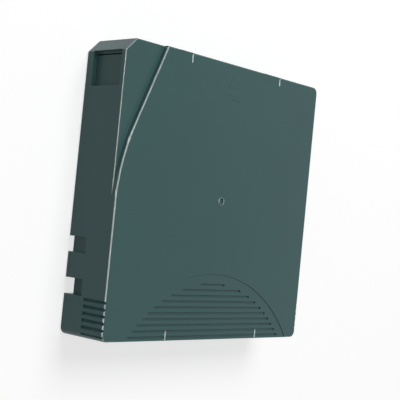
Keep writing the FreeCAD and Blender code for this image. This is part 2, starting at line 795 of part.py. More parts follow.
def make_upper_shell():
    """The lid: eased block hollowed from below, with the wedge recess, grip, guards and posts."""
    body = new_body("upper_shell")
    block = new_sketch(body, "lid_block", offset=SPLIT)
    add_case_outline(block)
    pad(body, block, SPLIT)
    ease_rim(body, cut_recess(body, "wedge_step"), "lid_edges", "case_height")
    ease_recess(body)
    hollow = new_sketch(body, "lid_hollow", offset=SPLIT)
    add_case_outline(hollow, "side_wall")
    pocket(body, hollow, LID_UNDER + " - " + SPLIT, along_normal=True)
    rebate = new_sketch(body, "lid_rebate", offset=SPLIT)
    add_case_outline(rebate, "(side_wall - lip_wall - lip_play)")
    pocket(body, rebate, "lip_height + lip_play", along_normal=True)
    thicken = new_sketch(body, "wedge_under", offset=WEDGE_UNDER)
    add_wedge_outline(thicken, "wedge_step_wall", "-side_wall / 2")
    pad(body, thicken, "case_height - edge_round - " + WEDGE_UNDER)
    add_guards(body, "upper", SPLIT, LID_UNDER + " - " + SPLIT + " + join")
    posts = new_sketch(body, "upper_posts", offset=SPLIT)
    for x, y in SCREWS:
        add_circle(posts, x, y, "boss_radius")
    pad(body, posts, LID_UNDER + " - " + SPLIT + " + join")
    add_cross_post(body)
    rail_low = "(%s - rail_high)" % WEDGE_UNDER
    add_door_rail(body, "upper_rail", rail_low, LID_UNDER + " + join")
    screw_holes = new_sketch(body, "post_holes", offset=SPLIT)
    for x, y in SCREWS:
        add_circle(screw_holes, x, y, "screw_shank + screw_play")
    depth = "screw_sink + screw_long + screw_end_gap - " + SPLIT
    pocket(body, screw_holes, depth, along_normal=True)
    cut_recess(body, "wedge")
    cut_exit(body, "exit_upper", SPLIT, "exit_high_z - " + SPLIT)
    cut_grip(body)
    cut_side_grips(body)
    cut_lid_marks(body)
    return body


def cut_recess(body, name):
    """The wedge-shaped recess over the door corner."""
    recess = new_sketch(body, name, offset="case_height")
    add_wedge_outline(recess, "0", "past")
    return pocket(body, recess, "wedge_depth")


def ease_recess(body):
    """Rounds the recess's floor where it meets the outside of the case."""
    lid, level = body.Tip, value("case_height - wedge_depth")
    bend = FreeCAD.Vector(value("-wedge_bend_x"), value("wedge_bend_y"), level)
    rim = []
    for number, edge in enumerate(lid.Shape.Edges, start=1):
        flat = abs(edge.BoundBox.ZMin - level) < 1e-4 and abs(edge.BoundBox.ZMax - level) < 1e-4
        if flat and all((vertex.Point - bend).Length > 1e-3 for vertex in edge.Vertexes):
            rim.append("Edge%d" % number)
    ease = body.newObject("PartDesign::Fillet", "recess_edges")
    ease.Base = (lid, rim)
    ease.setExpression("Radius", bound("recess_round"))
    document.recompute()


def add_cross_post(body):
    """The cross under the lid that keeps the brake button from turning, and its spring's guide ring."""
    cross = new_sketch(body, "cross_post", offset=CROSS_LOW)
    long_half = "(cross_arm_long / 2 - cross_play)"
    wide_half = "(cross_arm_wide / 2 - cross_play)"
    add_cross(cross, long_half, wide_half)
    pad(body, cross, "%s + join - %s" % (LID_UNDER, CROSS_LOW))
    guide = new_sketch(body, "spring_guide", offset=LID_UNDER + " - spring_guide_height")
    inner = "(brake_coil + brake_wire + spring_guide_play)"
    add_circle(guide, "0", "0", inner)
    add_circle(guide, "0", "0", inner + " + spring_guide_wall")
    pad(body, guide, "spring_guide_height + join")


def add_cross(sketch, long_half, wide_half):
    """A cross of two equal bars about the origin."""
    quarter = ((long_half, wide_half), (wide_half, wide_half), (wide_half, long_half))
    corners = list(quarter)
    corners += [(minus(x), y) for x, y in reversed(quarter)]
    corners += [(minus(x), minus(y)) for x, y in quarter]
    corners += [(x, minus(y)) for x, y in reversed(quarter)]
    add_outline(sketch, corners)


def cut_grip(body):
    """The thumb grip: a shallow drop inside an arc, with grooves that end on a smaller arc."""
    drop = new_sketch(body, "grip_drop", offset="case_height")
    rear = "(-case_depth / 2 - past)"
    half = "sqrt(grip_radius ^ 2 - (%s - grip_centre_y) ^ 2)" % rear
    corners = ((minus(half), rear), (half, rear), ("0", "grip_centre_y + grip_radius"))
    add_outline(drop, corners, {1: ("grip_radius", 1), 2: ("grip_radius", 1)})
    pocket(body, drop, "grip_drop")
    grooves = new_sketch(body, "grip_grooves", offset="case_height")
    end_radius = "(grip_radius - grip_inset)"
    for row in range(int(value("grip_rows"))):
        middle = "(grip_first_y - %d * grip_pitch)" % row
        reach = "sqrt(%s ^ 2 - (%s - grip_centre_y) ^ 2)" % (end_radius, middle)
        low, high = "%s - grip_groove / 2" % middle, "%s + grip_groove / 2" % middle
        add_box(grooves, minus(reach), low, reach, high)
    pocket(body, grooves, "grip_drop + grip_depth")


def cut_side_grips(body):
    """Upright grooves near the rear of both long sides."""
    for side, sign in (("left", "-1"), ("right", "1")):
        groove = new_sketch(body, "side_grip_" + side, offset=SPLIT)
        face = "(%s * case_width / 2)" % sign
        root = "(%s * (case_width / 2 - side_grip_depth))" % sign
        low = "side_grip_start_y - side_grip_width / 2"
        high = "side_grip_start_y + side_grip_width / 2"
        add_outline(groove, ((face, low), (root, "side_grip_start_y"), (face, high)))
        cut = pocket(body, groove, "case_height", along_normal=True)
        repeat_along(body, cut, "Y_Axis", "side_grip_pitch", "side_grip_count", backwards=True)


def cut_lid_marks(body):
    """Shallow marks at the front and rear edges and over the moulding gate."""
    marks = new_sketch(body, "edge_marks", offset="case_height")
    for end, place in ((1, "front"), (-1, "rear")):
        edge = "(%d * (case_depth / 2 + past))" % end
        near = "(%d * (case_depth / 2 - edge_mark_long))" % end
        for side in ("left", "right"):
            name = "%s_mark_%s" % (place, side)
            low_x, high_x = ("%s_x %s %s_wide / 2" % (name, sign, name) for sign in "-+")
            add_outline(marks, ((low_x, near), (high_x, near), (high_x, edge), (low_x, edge)))
    pocket(body, marks, "edge_mark_drop")
    gate = new_sketch(body, "gate_mark", offset="case_height")
    add_circle(gate, "0", "0", "gate_radius")
    pocket(body, gate, "edge_mark_drop")


# ---------------------------------------------------------------- reel


def make_reel_hub():
    """Hub and lower flange in one: barrel, floor, gear ring below and brake ring above."""
    body = new_body("reel_hub")
    profile = new_sketch(body, "hub_profile", "XZ_Plane")
    low = HUB_FLOOR_UNDER
    corners = (
        ("0", low),
        ("gear_inner", low),
        ("gear_inner", "gear_tip_z"),
        ("gear_outer", "gear_tip_z"),
        ("gear_outer", HUB_SEAT),
        ("hub_radius", HUB_SEAT),
        ("hub_radius", FLANGE_TOP + " - flange_thick"),
        ("flange_radius", FLANGE_TOP + " - flange_thick"),
        ("flange_radius", FLANGE_TOP),
        ("hub_radius", FLANGE_TOP),
        ("hub_radius", UPPER_FLANGE),
        ("hub_bore + weld_ring_wall", UPPER_FLANGE),
        ("hub_bore + weld_ring_wall", UPPER_FLANGE + " + weld_ring_height"),
        ("hub_bore", UPPER_FLANGE + " + weld_ring_height"),
        ("hub_bore", "hub_floor_top"),
        ("brake_outer", "hub_floor_top"),
        ("brake_outer", "brake_tip_z"),
        ("brake_inner", "brake_tip_z"),
        ("brake_inner", "hub_floor_top"),
        ("0", "hub_floor_top"),
    )
    add_outline(profile, corners)
    revolve(body, profile)
    cut_gear(body)
    cut_brake_ring(body)
    cut_leg_slots(body)
    add_splines(body)
    return body


def cut_gear(body):
    """Gaps between the teeth that the drive's chuck meshes with."""
    gap = new_sketch(body, "gear_gap", "YZ_Plane", "gear_inner - past / 2")
    half = "(gear_gap_wide / 2)"
    root, tip = "gear_tip_z + gear_tooth_deep", "gear_tip_z - join"
    corners = ((minus(half), tip), (half, tip), (half + " / 4", root), ("-%s / 4" % half, root))
    add_outline(gap, corners)
    cut = pocket(body, gap, "gear_outer - gear_inner + past", along_normal=True)
    repeat_round(body, cut, "gear_teeth")


def cut_brake_ring(body):
    """V gaps in the raised ring that the button's teeth drop into."""
    gap = new_sketch(body, "brake_gap", "YZ_Plane", "brake_inner - past / 2")
    half = "(brake_gap_wide / 2)"
    root = "brake_tip_z - brake_tooth_deep"
    top = "brake_tip_z + brake_play / 2"
    corners = ((minus(half), top), ("-%s / 5" % half, root), (half + " / 5", root), (half, top))
    add_outline(gap, corners)
    cut = pocket(body, gap, "brake_outer - brake_inner + past", along_normal=True)
    repeat_round(body, cut, "brake_teeth")


def cut_leg_slots(body):
    """Openings for the release pad's legs: through the floor and gear, and a way through the ring."""
    slot = new_sketch(body, "leg_slot", offset="hub_floor_top")
    half = "(pad_leg_wide / 2 + pad_leg_play)"
    add_box(slot, "pad_leg_inner - pad_leg_play", minus(half), "pad_leg_outer + pad_leg_play", half)
    cut = pocket(body, slot, "hub_floor_top")
    repeat_round(body, cut, "pad_legs")
    way = new_sketch(body, "arm_way", offset="hub_floor_top")
    add_box(way, "brake_inner - past", minus(half), "brake_outer + past / 2", half)
    cut = pocket(body, way, "brake_tip_z - hub_floor_top + past", along_normal=True)
    repeat_round(body, cut, "pad_legs")


def add_splines(body):
    """Small upright ribs round the inside of the barrel."""
    rib = new_sketch(body, "spline", offset=SPLINE_LOW)
    half = "(spline_wide / 2)"
    add_box(rib, "hub_bore - spline_high", minus(half), "hub_bore + join", half)
    feature = pad(body, rib, "%s - %s" % (UPPER_FLANGE, SPLINE_LOW))
    repeat_round(body, feature, "spline_count")


def make_upper_flange():
    """The clear disc welded on the hub's barrel, round the hub's locating ring."""
    body = new_body("reel_upper_flange")
    profile = new_sketch(body, "upper_flange_profile", "XZ_Plane")
    inner = "hub_bore + weld_ring_wall + weld_play"
    high = UPPER_FLANGE + " + flange_thick"
    corners = ((inner, UPPER_FLANGE), ("flange_radius", UPPER_FLANGE), ("flange_radius", high), (inner, high))
    add_outline(profile, corners)
    revolve(body, profile)
    return body


def make_tape_pack():
    """The wound tape, one ring on the barrel between the flanges."""
    body = new_body("tape_pack")
    profile = new_sketch(body, "pack_profile", "XZ_Plane")
    add_box(profile, "hub_radius", TAPE_LOW, "pack_radius", TAPE_HIGH)
    revolve(body, profile)
    return body


def make_reel_plate():
    """The steel ring under the hub's floor that the drive's magnet pulls on."""
    body = new_body("reel_plate")
    profile = new_sketch(body, "plate_profile", "XZ_Plane")
    add_box(profile, "plate_inner", HUB_FLOOR_UNDER + " - plate_thick", "plate_outer", HUB_FLOOR_UNDER)
    revolve(body, profile)
    return body


def make_brake_button():
    """The lock: a disc with teeth below and a post above with a cross-shaped socket."""
    body = new_body("brake_button")
    profile = new_sketch(body, "button_profile", "XZ_Plane")
    dome = "(pad_dome + pad_dome_rise)"
    foot = "(hub_floor_top + pad_thick + pad_dome_rise)"
    corners = (
        ("0", foot),
        (dome, foot),
        (dome, BRAKE_ROOT),
        ("button_radius", BRAKE_ROOT),
        ("button_radius", BUTTON_TOP),
        ("button_post", BUTTON_TOP),
        ("button_post", POST_TOP),
        ("0", POST_TOP),
    )
    add_outline(profile, corners)
    revolve(body, profile)
    tooth = new_sketch(body, "button_tooth", "YZ_Plane", "brake_inner + brake_tooth_cut")
    half = "(brake_gap_wide / 2 - brake_play)"
    tip = "brake_tip_z - brake_tooth_deep + brake_play"
    top = BRAKE_ROOT + " + join"
    corners = ((minus(half), top), ("-%s / 6" % half, tip), (half + " / 6", tip), (half, top))
    add_outline(tooth, corners)
    feature = pad(body, tooth, "brake_outer - brake_inner - 2 * brake_tooth_cut")
    repeat_round(body, feature, "brake_teeth")
    socket = new_sketch(body, "cross_socket", offset=POST_TOP)
    add_cross(socket, "(cross_arm_long / 2)", "(cross_arm_wide / 2)")
    pocket(body, socket, "button_post_height - socket_floor")
    return body


def make_brake_spring():
    """The coil between the button and the lid."""
    low = BUTTON_TOP + " + brake_wire"
    high = LID_UNDER + " - brake_wire"
    return make_coil("brake_spring", "brake_coil", "brake_wire", low, high, "brake_turns")


def make_coil(label, radius, wire, low, high, turns):
    """An open coil about its own Z axis, with its wire's outside on low and high."""
    helix = document.addObject("Part::Helix", label + "_path")
    helix.setExpression("Radius", bound(radius))
    helix.setExpression("Height", bound("%s - (%s)" % (high, low)))
    helix.setExpression("Pitch", bound("(%s - (%s)) / %s" % (high, low, turns)))
    helix.setExpression("Placement.Base.z", bound(low))
    section = document.addObject("Part::Circle", label + "_wire")
    section.setExpression("Radius", bound(wire))
    section.setExpression("Placement.Base.x", bound(radius))
    section.setExpression("Placement.Base.z", bound(low))
    section.Placement.Rotation = FreeCAD.Rotation(FreeCAD.Vector(1, 0, 0), 90)
    coil = document.addObject("Part::Sweep", label)
    coil.Sections = [section]
    coil.Spine = (helix, [])
    coil.Solid = True
    coil.Frenet = True
    coil.Label = label
    document.recompute()
    return coil


def make_release_pad():
    """The disc under the button, with a dome and three legs that reach down between the gear's teeth."""
    body = new_body("release_pad")
    disc = new_sketch(body, "pad_disc", offset="hub_floor_top")
    add_circle(disc, "0", "0", "pad_disc")
    pad(body, disc, "pad_thick")
    dome = new_sketch(body, "pad_dome", offset="hub_floor_top")
    add_circle(dome, "0", "0", "pad_dome")
    pad(body, dome, "pad_thick + pad_dome_rise")
    half = "(pad_leg_wide / 2)"
    arm = new_sketch(body, "pad_arm", offset="hub_floor_top")
    add_box(arm, "pad_disc / 2", minus(half), "pad_leg_outer", half)
    repeat_round(body, pad(body, arm, "pad_thick"), "pad_legs")
    leg = new_sketch(body, "pad_leg", offset="pad_foot_z")
    add_box(leg, "pad_leg_inner", minus(half), "pad_leg_outer", half)
    repeat_round(body, pad(body, leg, "hub_floor_top + pad_thick / 2 - pad_foot_z"), "pad_legs")
    return body


# ---------------------------------------------------------------- leader


def make_leader_pin():
    """The flanged steel pin on the tape's free end."""
    body = new_body("leader_pin")
    profile = new_sketch(body, "pin_profile", "XZ_Plane")
    corners = (
        ("0", PIN_LOW),
        ("pin_flange", PIN_LOW),
        ("pin_flange", PIN_LOW + " + pin_flange_thick"),
        ("pin_shaft", PIN_LOW + " + pin_flange_thick"),
        ("pin_shaft", PIN_HIGH + " - pin_flange_thick"),
        ("pin_flange", PIN_HIGH + " - pin_flange_thick"),
        ("pin_flange", PIN_HIGH),
        ("0", PIN_HIGH),
    )
    add_outline(profile, corners)
    revolve(body, profile)
    stand_at_pin(body)
    return body


def stand_at_pin(body):
    """Moves a sub-part made about the origin to the leader pin's axis."""
    body.setExpression("Placement.Base.x", bound(PIN_X))
    body.setExpression("Placement.Base.y", bound("pin_y"))
    document.recompute()


def make_leader_clip():
    """The C clip that holds the tape on the pin, open towards the reel."""
    body = new_body("leader_clip")
    low = TAPE_LOW + " + clip_end_gap"
    ring = new_sketch(body, "clip_ring", offset=low)
    add_circle(ring, "0", "0", "clip_outer")
    add_circle(ring, "0", "0", "pin_shaft + leader_thick")
    pad(body, ring, "tape_width - 2 * clip_end_gap")
    mouth = new_sketch(body, "clip_mouth", offset=low)
    add_box(mouth, "-clip_outer - past", "-clip_outer - past", "-pin_shaft + clip_mouth", "0")
    pocket(body, mouth, "tape_width - 2 * clip_end_gap", along_normal=True)
    stand_at_pin(body)
    return body


def make_pin_spring():
    """The leaf on the front wall whose two tongues press the pin's flanges into place."""
    body = new_body("pin_spring")
    leaf = new_sketch(body, "leaf", offset=PIN_LOW)
    near = "(pin_y + pin_flange)"
    far = "(%s - leaf_thick)" % INNER_Y
    right = "(%s + leaf_foot)" % PIN_X
    bend = "(%s + leaf_bend)" % PIN_X
    toe = "(%s - leaf_toe)" % PIN_X
    corners = (
        (right, INNER_Y),
        (bend, INNER_Y),
        (PIN_X, near + " + leaf_thick"),
        (toe, near + " + leaf_thick"),
        (toe, near),
        (PIN_X + " + leaf_thick / 2", near),
        (bend + " + leaf_thick / 2", far),
        (right, far),
    )
    add_outline(leaf, corners)
    pad(body, leaf, PIN_HIGH + " - " + PIN_LOW)
    middle = new_sketch(body, "leaf_gap", offset=PIN_LOW + " + leaf_tongue")
    add_box(middle, toe + " - past", near + " - past", bend + " - leaf_thick", INNER_Y + " + past")
    pocket(body, middle, "%s - %s - 2 * leaf_tongue" % (PIN_HIGH, PIN_LOW), along_normal=True)
    return body


def make_tape_leader():
    """The free stretch of tape from the pack to the pin."""
    body = new_body("tape_leader")
    strip = new_sketch(body, "leader_strip", offset=TAPE_LOW)
    half = "(leader_thick / 2)"
    add_box(strip, "leader_x - " + half, "leader_gap", "leader_x + " + half, "pin_y")
    pad(body, strip, "tape_width")
    return body


# ---------------------------------------------------------------- door and tab


def make_access_door():
    """The sliding door: a plate with a holder at its rear and a peg for its spring."""
    body = new_body("access_door")
    plate = new_sketch(body, "door_plate", offset=DOOR_LOW)
    add_box(plate, minus(DOOR_OUTER), DOOR_REAR, minus(DOOR_INNER), "door_front_y")
    pad(body, plate, "%s - %s" % (DOOR_HIGH, DOOR_LOW))
    holder = new_sketch(body, "spring_holder", offset=SPLIT + " - door_coil - door_wire")
    inner = "(-%s + door_coil + door_wire)" % COIL_X
    add_box(holder, minus(DOOR_OUTER), DOOR_REAR, inner, DOOR_REAR + " + spring_post_thick")
    pad(body, holder, "2 * (door_coil + door_wire)")
    peg = new_sketch(body, "door_peg", "XZ_Plane", "-%s" % DOOR_REAR)
    add_circle(peg, minus(COIL_X), SPLIT, "peg_radius - 0.1")
    pad(body, peg, "peg_long")
    return body


def make_door_spring():
    """The coil that pushes the door shut, lying along the left wall."""
    low, high = SPRING_POST_Y + " + door_wire", DOOR_REAR + " - door_wire"
    coil = make_coil("door_spring", "door_coil", "door_wire", low, high, "door_turns")
    coil.Placement.Rotation = FreeCAD.Rotation(FreeCAD.Vector(1, 0, 0), -90)
    coil.setExpression("Placement.Base.x", bound(minus(COIL_X)))
    coil.setExpression("Placement.Base.z", bound(SPLIT))
    document.recompute()
    return coil


def make_write_protect_tab():
    """The slide in the rear left corner: a block with a foot in the slot and a grooved thumb piece."""
    body = new_body("write_protect_tab")
    half = "(tab_body / 2)"
    back = "(-%s + tab_play)" % INNER_Y
    front = "(sense_y + sense_wide / 2)"
    block = new_sketch(body, "tab_block", offset="floor_wall")
    add_box(block, "%s - %s" % (TAB_REST_X, half), back, "%s + %s" % (TAB_REST_X, half), front)
    pad(body, block, "tab_high")
    foot = new_sketch(body, "tab_foot", offset="floor_wall / 4")
    add_circle(foot, TAB_REST_X, "sense_y", "tab_foot / 2")
    pad(body, foot, "floor_wall")
    thumb = new_sketch(body, "tab_thumb", offset="(rear_window_low + rear_window_high - tab_thumb_high) / 2")
    half = "(tab_thumb / 2)"
    face = "(-case_depth / 2 + tab_set_back)"
    add_box(thumb, "%s - %s" % (TAB_REST_X, half), face, "%s + %s" % (TAB_REST_X, half), back + " + join")
    pad(body, thumb, "tab_thumb_high")
    top = "(rear_window_low + rear_window_high + tab_thumb_high) / 2"
    grooves = new_sketch(body, "tab_grooves", offset=top)
    pitch = "(tab_thumb / tab_grooves)"
    for row in range(int(value("tab_grooves"))):
        middle = "(%s - %s + (%d + 0.5) * %s)" % (TAB_REST_X, half, row, pitch)
        low_x, high_x = "%s - tab_groove / 2" % middle, "%s + tab_groove / 2" % middle
        add_outline(grooves, ((low_x, face), (high_x, face), (middle, face + " + tab_groove_deep")))
    pocket(body, grooves, "tab_thumb_high")
    return body


# ---------------------------------------------------------------- memory and screws


def make_memory_board():
    """The memory's board, leaning at 45 degrees on its two ribs."""
    body = new_body("memory_board")
    board = new_sketch(body, "board")
    add_box(board, "-board_long / 2", "-board_wide / 2", "board_long / 2", "board_wide / 2")
    pad(body, board, "board_thick")
    lean_on_ribs(body, "0")
    return body


def make_memory_chip():
    """The chip on the board's upper face."""
    body = new_body("memory_chip")
    chip = new_sketch(body, "chip")
    add_box(chip, "-chip_side / 2", "-chip_side / 2", "chip_side / 2", "chip_side / 2")
    pad(body, chip, "chip_thick")
    lean_on_ribs(body, "board_thick")
    return body


def lean_on_ribs(body, lift):
    """Turns a flat sub-part to the ribs' slope and sets it lift above them."""
    body.Placement.Rotation = FreeCAD.Rotation(FreeCAD.Vector(1, 0, 0), -45)
    middle = "(wedge_rib_high / 2)"
    body.setExpression("Placement.Base.x", bound("board_x"))
    body.setExpression("Placement.Base.y", bound("-%s + %s + %s * sqrt(0.5)" % (INNER_Y, middle, lift)))
    body.setExpression("Placement.Base.z", bound("floor_wall + %s + %s * sqrt(0.5)" % (middle, lift)))
    document.recompute()


def make_case_screws():
    """The screws that close the case, put in from below."""
    screws = []
    for number, (x, y) in enumerate(SCREWS, start=1):
        parts = []
        low = "(screw_sink - screw_head_high)"
        for name, radius, base, height in (
            ("head", "screw_head", low, "screw_head_high"),
            ("shank", "screw_shank", low, "screw_head_high + screw_long"),
        ):
            piece = document.addObject("Part::Cylinder", "screw_%s_%d" % (name, number))
            piece.setExpression("Radius", bound(radius))
            piece.setExpression("Height", bound(height))
            piece.setExpression("Placement.Base.x", bound(x))
            piece.setExpression("Placement.Base.y", bound(y))
            piece.setExpression("Placement.Base.z", bound(base))
            parts.append(piece)
        screw = document.addObject("Part::MultiFuse", "screw_%d" % number)
        screw.Shapes = parts
        screw.Refine = True
        screws.append(screw)
    group = document.addObject("Part::Compound", "case_screws")
    group.Links = screws
    group.Label = "case_screws"
    document.recompute()
    return group


# ---------------------------------------------------------------- build and write

PIECES = (
    make_lower_shell,
    make_upper_shell,
    make_reel_hub,
    make_upper_flange,
    make_tape_pack,
    make_reel_plate,
    make_brake_button,
    make_brake_spring,
    make_release_pad,
    make_leader_pin,
    make_leader_clip,
    make_pin_spring,
    make_tape_leader,
    make_access_door,
    make_door_spring,
    make_write_protect_tab,
    make_memory_board,
    make_memory_chip,
    make_case_screws,
)


def check(pieces):
    """Stops if anything failed to build."""
    for thing in document.Objects:
        if "Invalid" in thing.State or "Error" in thing.State:
            raise RuntimeError("%s failed" % thing.Name)
    for piece in pieces:
        if piece.Shape.isNull() or not piece.Shape.isValid():
            raise RuntimeError("%s has no valid shape" % piece.Label)


def main():
    pieces = [make() for make in PIECES]
    document.recompute()
    check(pieces)
    os.makedirs("parts", exist_ok=True)
    for piece in pieces:
        piece.Shape.exportStep("parts/%s.step" % piece.Label)
        print(piece.Label, len(piece.Shape.Solids), round(piece.Shape.Volume, 1))


main()
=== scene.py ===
import math

import bmesh
import bpy
from mathutils import Matrix, Vector


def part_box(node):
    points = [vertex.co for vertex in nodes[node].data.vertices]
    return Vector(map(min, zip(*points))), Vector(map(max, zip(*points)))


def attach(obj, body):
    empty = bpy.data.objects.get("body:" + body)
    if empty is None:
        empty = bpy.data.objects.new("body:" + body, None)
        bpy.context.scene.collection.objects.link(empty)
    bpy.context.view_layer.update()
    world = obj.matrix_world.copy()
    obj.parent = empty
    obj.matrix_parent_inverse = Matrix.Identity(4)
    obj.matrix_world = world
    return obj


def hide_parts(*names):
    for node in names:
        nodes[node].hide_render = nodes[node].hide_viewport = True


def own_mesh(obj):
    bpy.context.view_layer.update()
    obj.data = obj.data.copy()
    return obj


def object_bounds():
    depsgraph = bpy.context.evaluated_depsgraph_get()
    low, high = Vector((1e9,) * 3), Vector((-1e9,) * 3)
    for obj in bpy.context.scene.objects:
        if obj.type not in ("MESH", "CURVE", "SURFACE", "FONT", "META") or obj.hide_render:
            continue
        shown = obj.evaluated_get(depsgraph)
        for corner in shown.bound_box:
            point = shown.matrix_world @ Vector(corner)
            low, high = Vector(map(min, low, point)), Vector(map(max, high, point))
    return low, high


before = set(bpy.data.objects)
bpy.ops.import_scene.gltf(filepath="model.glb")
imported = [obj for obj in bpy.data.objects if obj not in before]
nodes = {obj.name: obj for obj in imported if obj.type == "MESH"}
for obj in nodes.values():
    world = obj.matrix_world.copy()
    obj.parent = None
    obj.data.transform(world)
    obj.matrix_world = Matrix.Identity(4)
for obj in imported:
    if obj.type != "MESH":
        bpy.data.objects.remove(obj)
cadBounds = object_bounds()
millimetre = 0.001
perMetre = 1000   # millimetres in a metre
mergeDistance = 0.000001


# shared effects

def newGroup(name, inputs, outputs):
    group = bpy.data.node_groups.new(name, "ShaderNodeTree")
    for label, kind, value in inputs:
        socket = group.interface.new_socket(name=label, in_out="INPUT", socket_type=kind)
        if value is not None:
            socket.default_value = value
    for label, kind in outputs:
        group.interface.new_socket(name=label, in_out="OUTPUT", socket_type=kind)
    entry = group.nodes.new("NodeGroupInput")
    leave = group.nodes.new("NodeGroupOutput")
    return group, entry, leave


def addNode(tree, kind, **settings):
    node = tree.nodes.new(kind)
    for key, value in settings.items():
        setattr(node, key, value)
    return node


def setInputs(node, **values):
    for key, value in values.items():
        node.inputs[key.replace("_", " ")].default_value = value


def addMath(tree, operation, first, second=None, clamp=False):
    node = addNode(tree, "ShaderNodeMath", operation=operation, use_clamp=clamp)
    for slot, value in enumerate((first, second)):
        if value is None:
            continue
        if isinstance(value, (int, float)):
            node.inputs[slot].default_value = value
        else:
            tree.links.new(value, node.inputs[slot])
    return node.outputs[0]


def addNoise(tree, vector, scale, detail=2.0, roughness=0.5):
    node = addNode(tree, "ShaderNodeTexNoise")
    tree.links.new(vector, node.inputs["Vector"])
    if isinstance(scale, (int, float)):
        node.inputs["Scale"].default_value = scale
    else:
        tree.links.new(scale, node.inputs["Scale"])
    node.inputs["Detail"].default_value = detail
    node.inputs["Roughness"].default_value = roughness
    return node.outputs["Fac"]


noiseMiddle = 0.5
mixSockets = {"first": 6, "second": 7, "result": 2}   # the node's colour sockets, told apart by number


def mixColour(tree, factor, first, second, blend="MIX"):
    node = addNode(tree, "ShaderNodeMix", data_type="RGBA", blend_type=blend)
    wanted = ((node.inputs["Factor"], factor), (node.inputs[mixSockets["first"]], first),
              (node.inputs[mixSockets["second"]], second))
    for socket, value in wanted:
        if hasattr(value, "is_output"):
            tree.links.new(value, socket)
        elif isinstance(value, (int, float)):
            socket.default_value = value
        else:
            socket.default_value = (*value, 1.0)
    return node.outputs[mixSockets["result"]]


mouldedPattern = {
    "drift": {"scale": 0.035, "detail": 3.0},
    "handling": {"scale": 0.11, "detail": 4.0, "roughness": 0.6},
    "grain": {"detail": 3.0, "roughness": 0.62},
    "grainColour": 0.9, "pitScale": 0.8, "grainHeight": 0.7, "pitHeight": 0.5,
}


def mouldedSurface(look):
    # spark-eroded tool texture, slow colour drift and the dull patches that hands leave
    group, entry, leave = newGroup(
        "mouldedSurface",
        [("Vector", "NodeSocketVector", None), ("Colour", "NodeSocketColor", (0.5, 0.5, 0.5, 1)),
         ("Drift", "NodeSocketFloat", 0.06), ("Roughness", "NodeSocketFloat", 0.45),
         ("Rough Spread", "NodeSocketFloat", 0.08), ("Grain", "NodeSocketFloat", 4.0)],
        [("Colour", "NodeSocketColor"), ("Roughness", "NodeSocketFloat"), ("Height", "NodeSocketFloat")])
    vector = entry.outputs["Vector"]
    slow = addNoise(group, vector, **look["drift"])
    handled = addNoise(group, vector, **look["handling"])
    grain = addNoise(group, vector, entry.outputs["Grain"], **look["grain"])
    pits = addNode(group, "ShaderNodeTexVoronoi", feature="F1")
    group.links.new(vector, pits.inputs["Vector"])
    pitScale = addMath(group, "MULTIPLY", entry.outputs["Grain"], look["pitScale"])
    group.links.new(pitScale, pits.inputs["Scale"])
    swing = addMath(group, "SUBTRACT", slow, noiseMiddle)
    speck = addMath(group, "MULTIPLY", addMath(group, "SUBTRACT", grain, noiseMiddle),
                    look["grainColour"])
    level = addMath(group, "MULTIPLY", addMath(group, "ADD", swing, speck), entry.outputs["Drift"])
    brightness = addMath(group, "ADD", addMath(group, "MULTIPLY", level, 2.0), 1.0)
    scaled = addNode(group, "ShaderNodeVectorMath", operation="SCALE")
    group.links.new(entry.outputs["Colour"], scaled.inputs[0])
    group.links.new(brightness, scaled.inputs["Scale"])
    group.links.new(scaled.outputs[0], leave.inputs["Colour"])
    dull = addMath(group, "MULTIPLY", addMath(group, "SUBTRACT", handled, noiseMiddle),
                   entry.outputs["Rough Spread"])
    rough = addMath(group, "ADD", entry.outputs["Roughness"], addMath(group, "MULTIPLY", dull, 2.0),
                    clamp=True)
    group.links.new(rough, leave.inputs["Roughness"])
    height = addMath(group, "ADD", addMath(group, "MULTIPLY", grain, look["grainHeight"]),
                     addMath(group, "MULTIPLY", pits.outputs["Distance"], look["pitHeight"]))
    group.links.new(height, leave.inputs["Height"])
    return group


ringPattern = {
    "rings": {"scale": 1.0, "detail": 4.0, "roughness": 0.7},
    "bands": {"scale": 0.045, "detail": 2.0},
    "patches": {"scale": 0.08, "detail": 2.0},
}


def turnedRings(look):
    # rings round the Z axis, as the edges of wound tape make
    group, entry, leave = newGroup(
        "turnedRings",
        [("Vector", "NodeSocketVector", None), ("Pitch", "NodeSocketFloat", 0.2),
         ("Wander", "NodeSocketFloat", 0.3)],
        [("Rings", "NodeSocketFloat"), ("Bands", "NodeSocketFloat")])
    parts = addNode(group, "ShaderNodeSeparateXYZ")
    group.links.new(entry.outputs["Vector"], parts.inputs[0])
    squareX = addMath(group, "POWER", addMath(group, "ABSOLUTE", parts.outputs["X"]), 2.0)
    squareY = addMath(group, "POWER", addMath(group, "ABSOLUTE", parts.outputs["Y"]), 2.0)
    distance = addMath(group, "SQRT", addMath(group, "ADD", squareX, squareY))
    steps = addMath(group, "DIVIDE", distance, entry.outputs["Pitch"])
    flat = addNode(group, "ShaderNodeCombineXYZ")
    group.links.new(steps, flat.inputs["X"])
    rings = addNoise(group, flat.outputs[0], **look["rings"])
    bands = addNoise(group, flat.outputs[0], **look["bands"])
    patches = addNoise(group, entry.outputs["Vector"], **look["patches"])
    drift = addMath(group, "MULTIPLY", addMath(group, "SUBTRACT", patches, noiseMiddle),
                    entry.outputs["Wander"])
    group.links.new(addMath(group, "ADD", rings, drift, clamp=True), leave.inputs["Rings"])
    group.links.new(bands, leave.inputs["Bands"])
    return group


scratchPattern = {
    "fine": {"scale": 6.0, "detail": 5.0, "roughness": 0.65},
    "broad": {"scale": 0.4, "detail": 2.0},
    "roughSpread": 0.25,
}


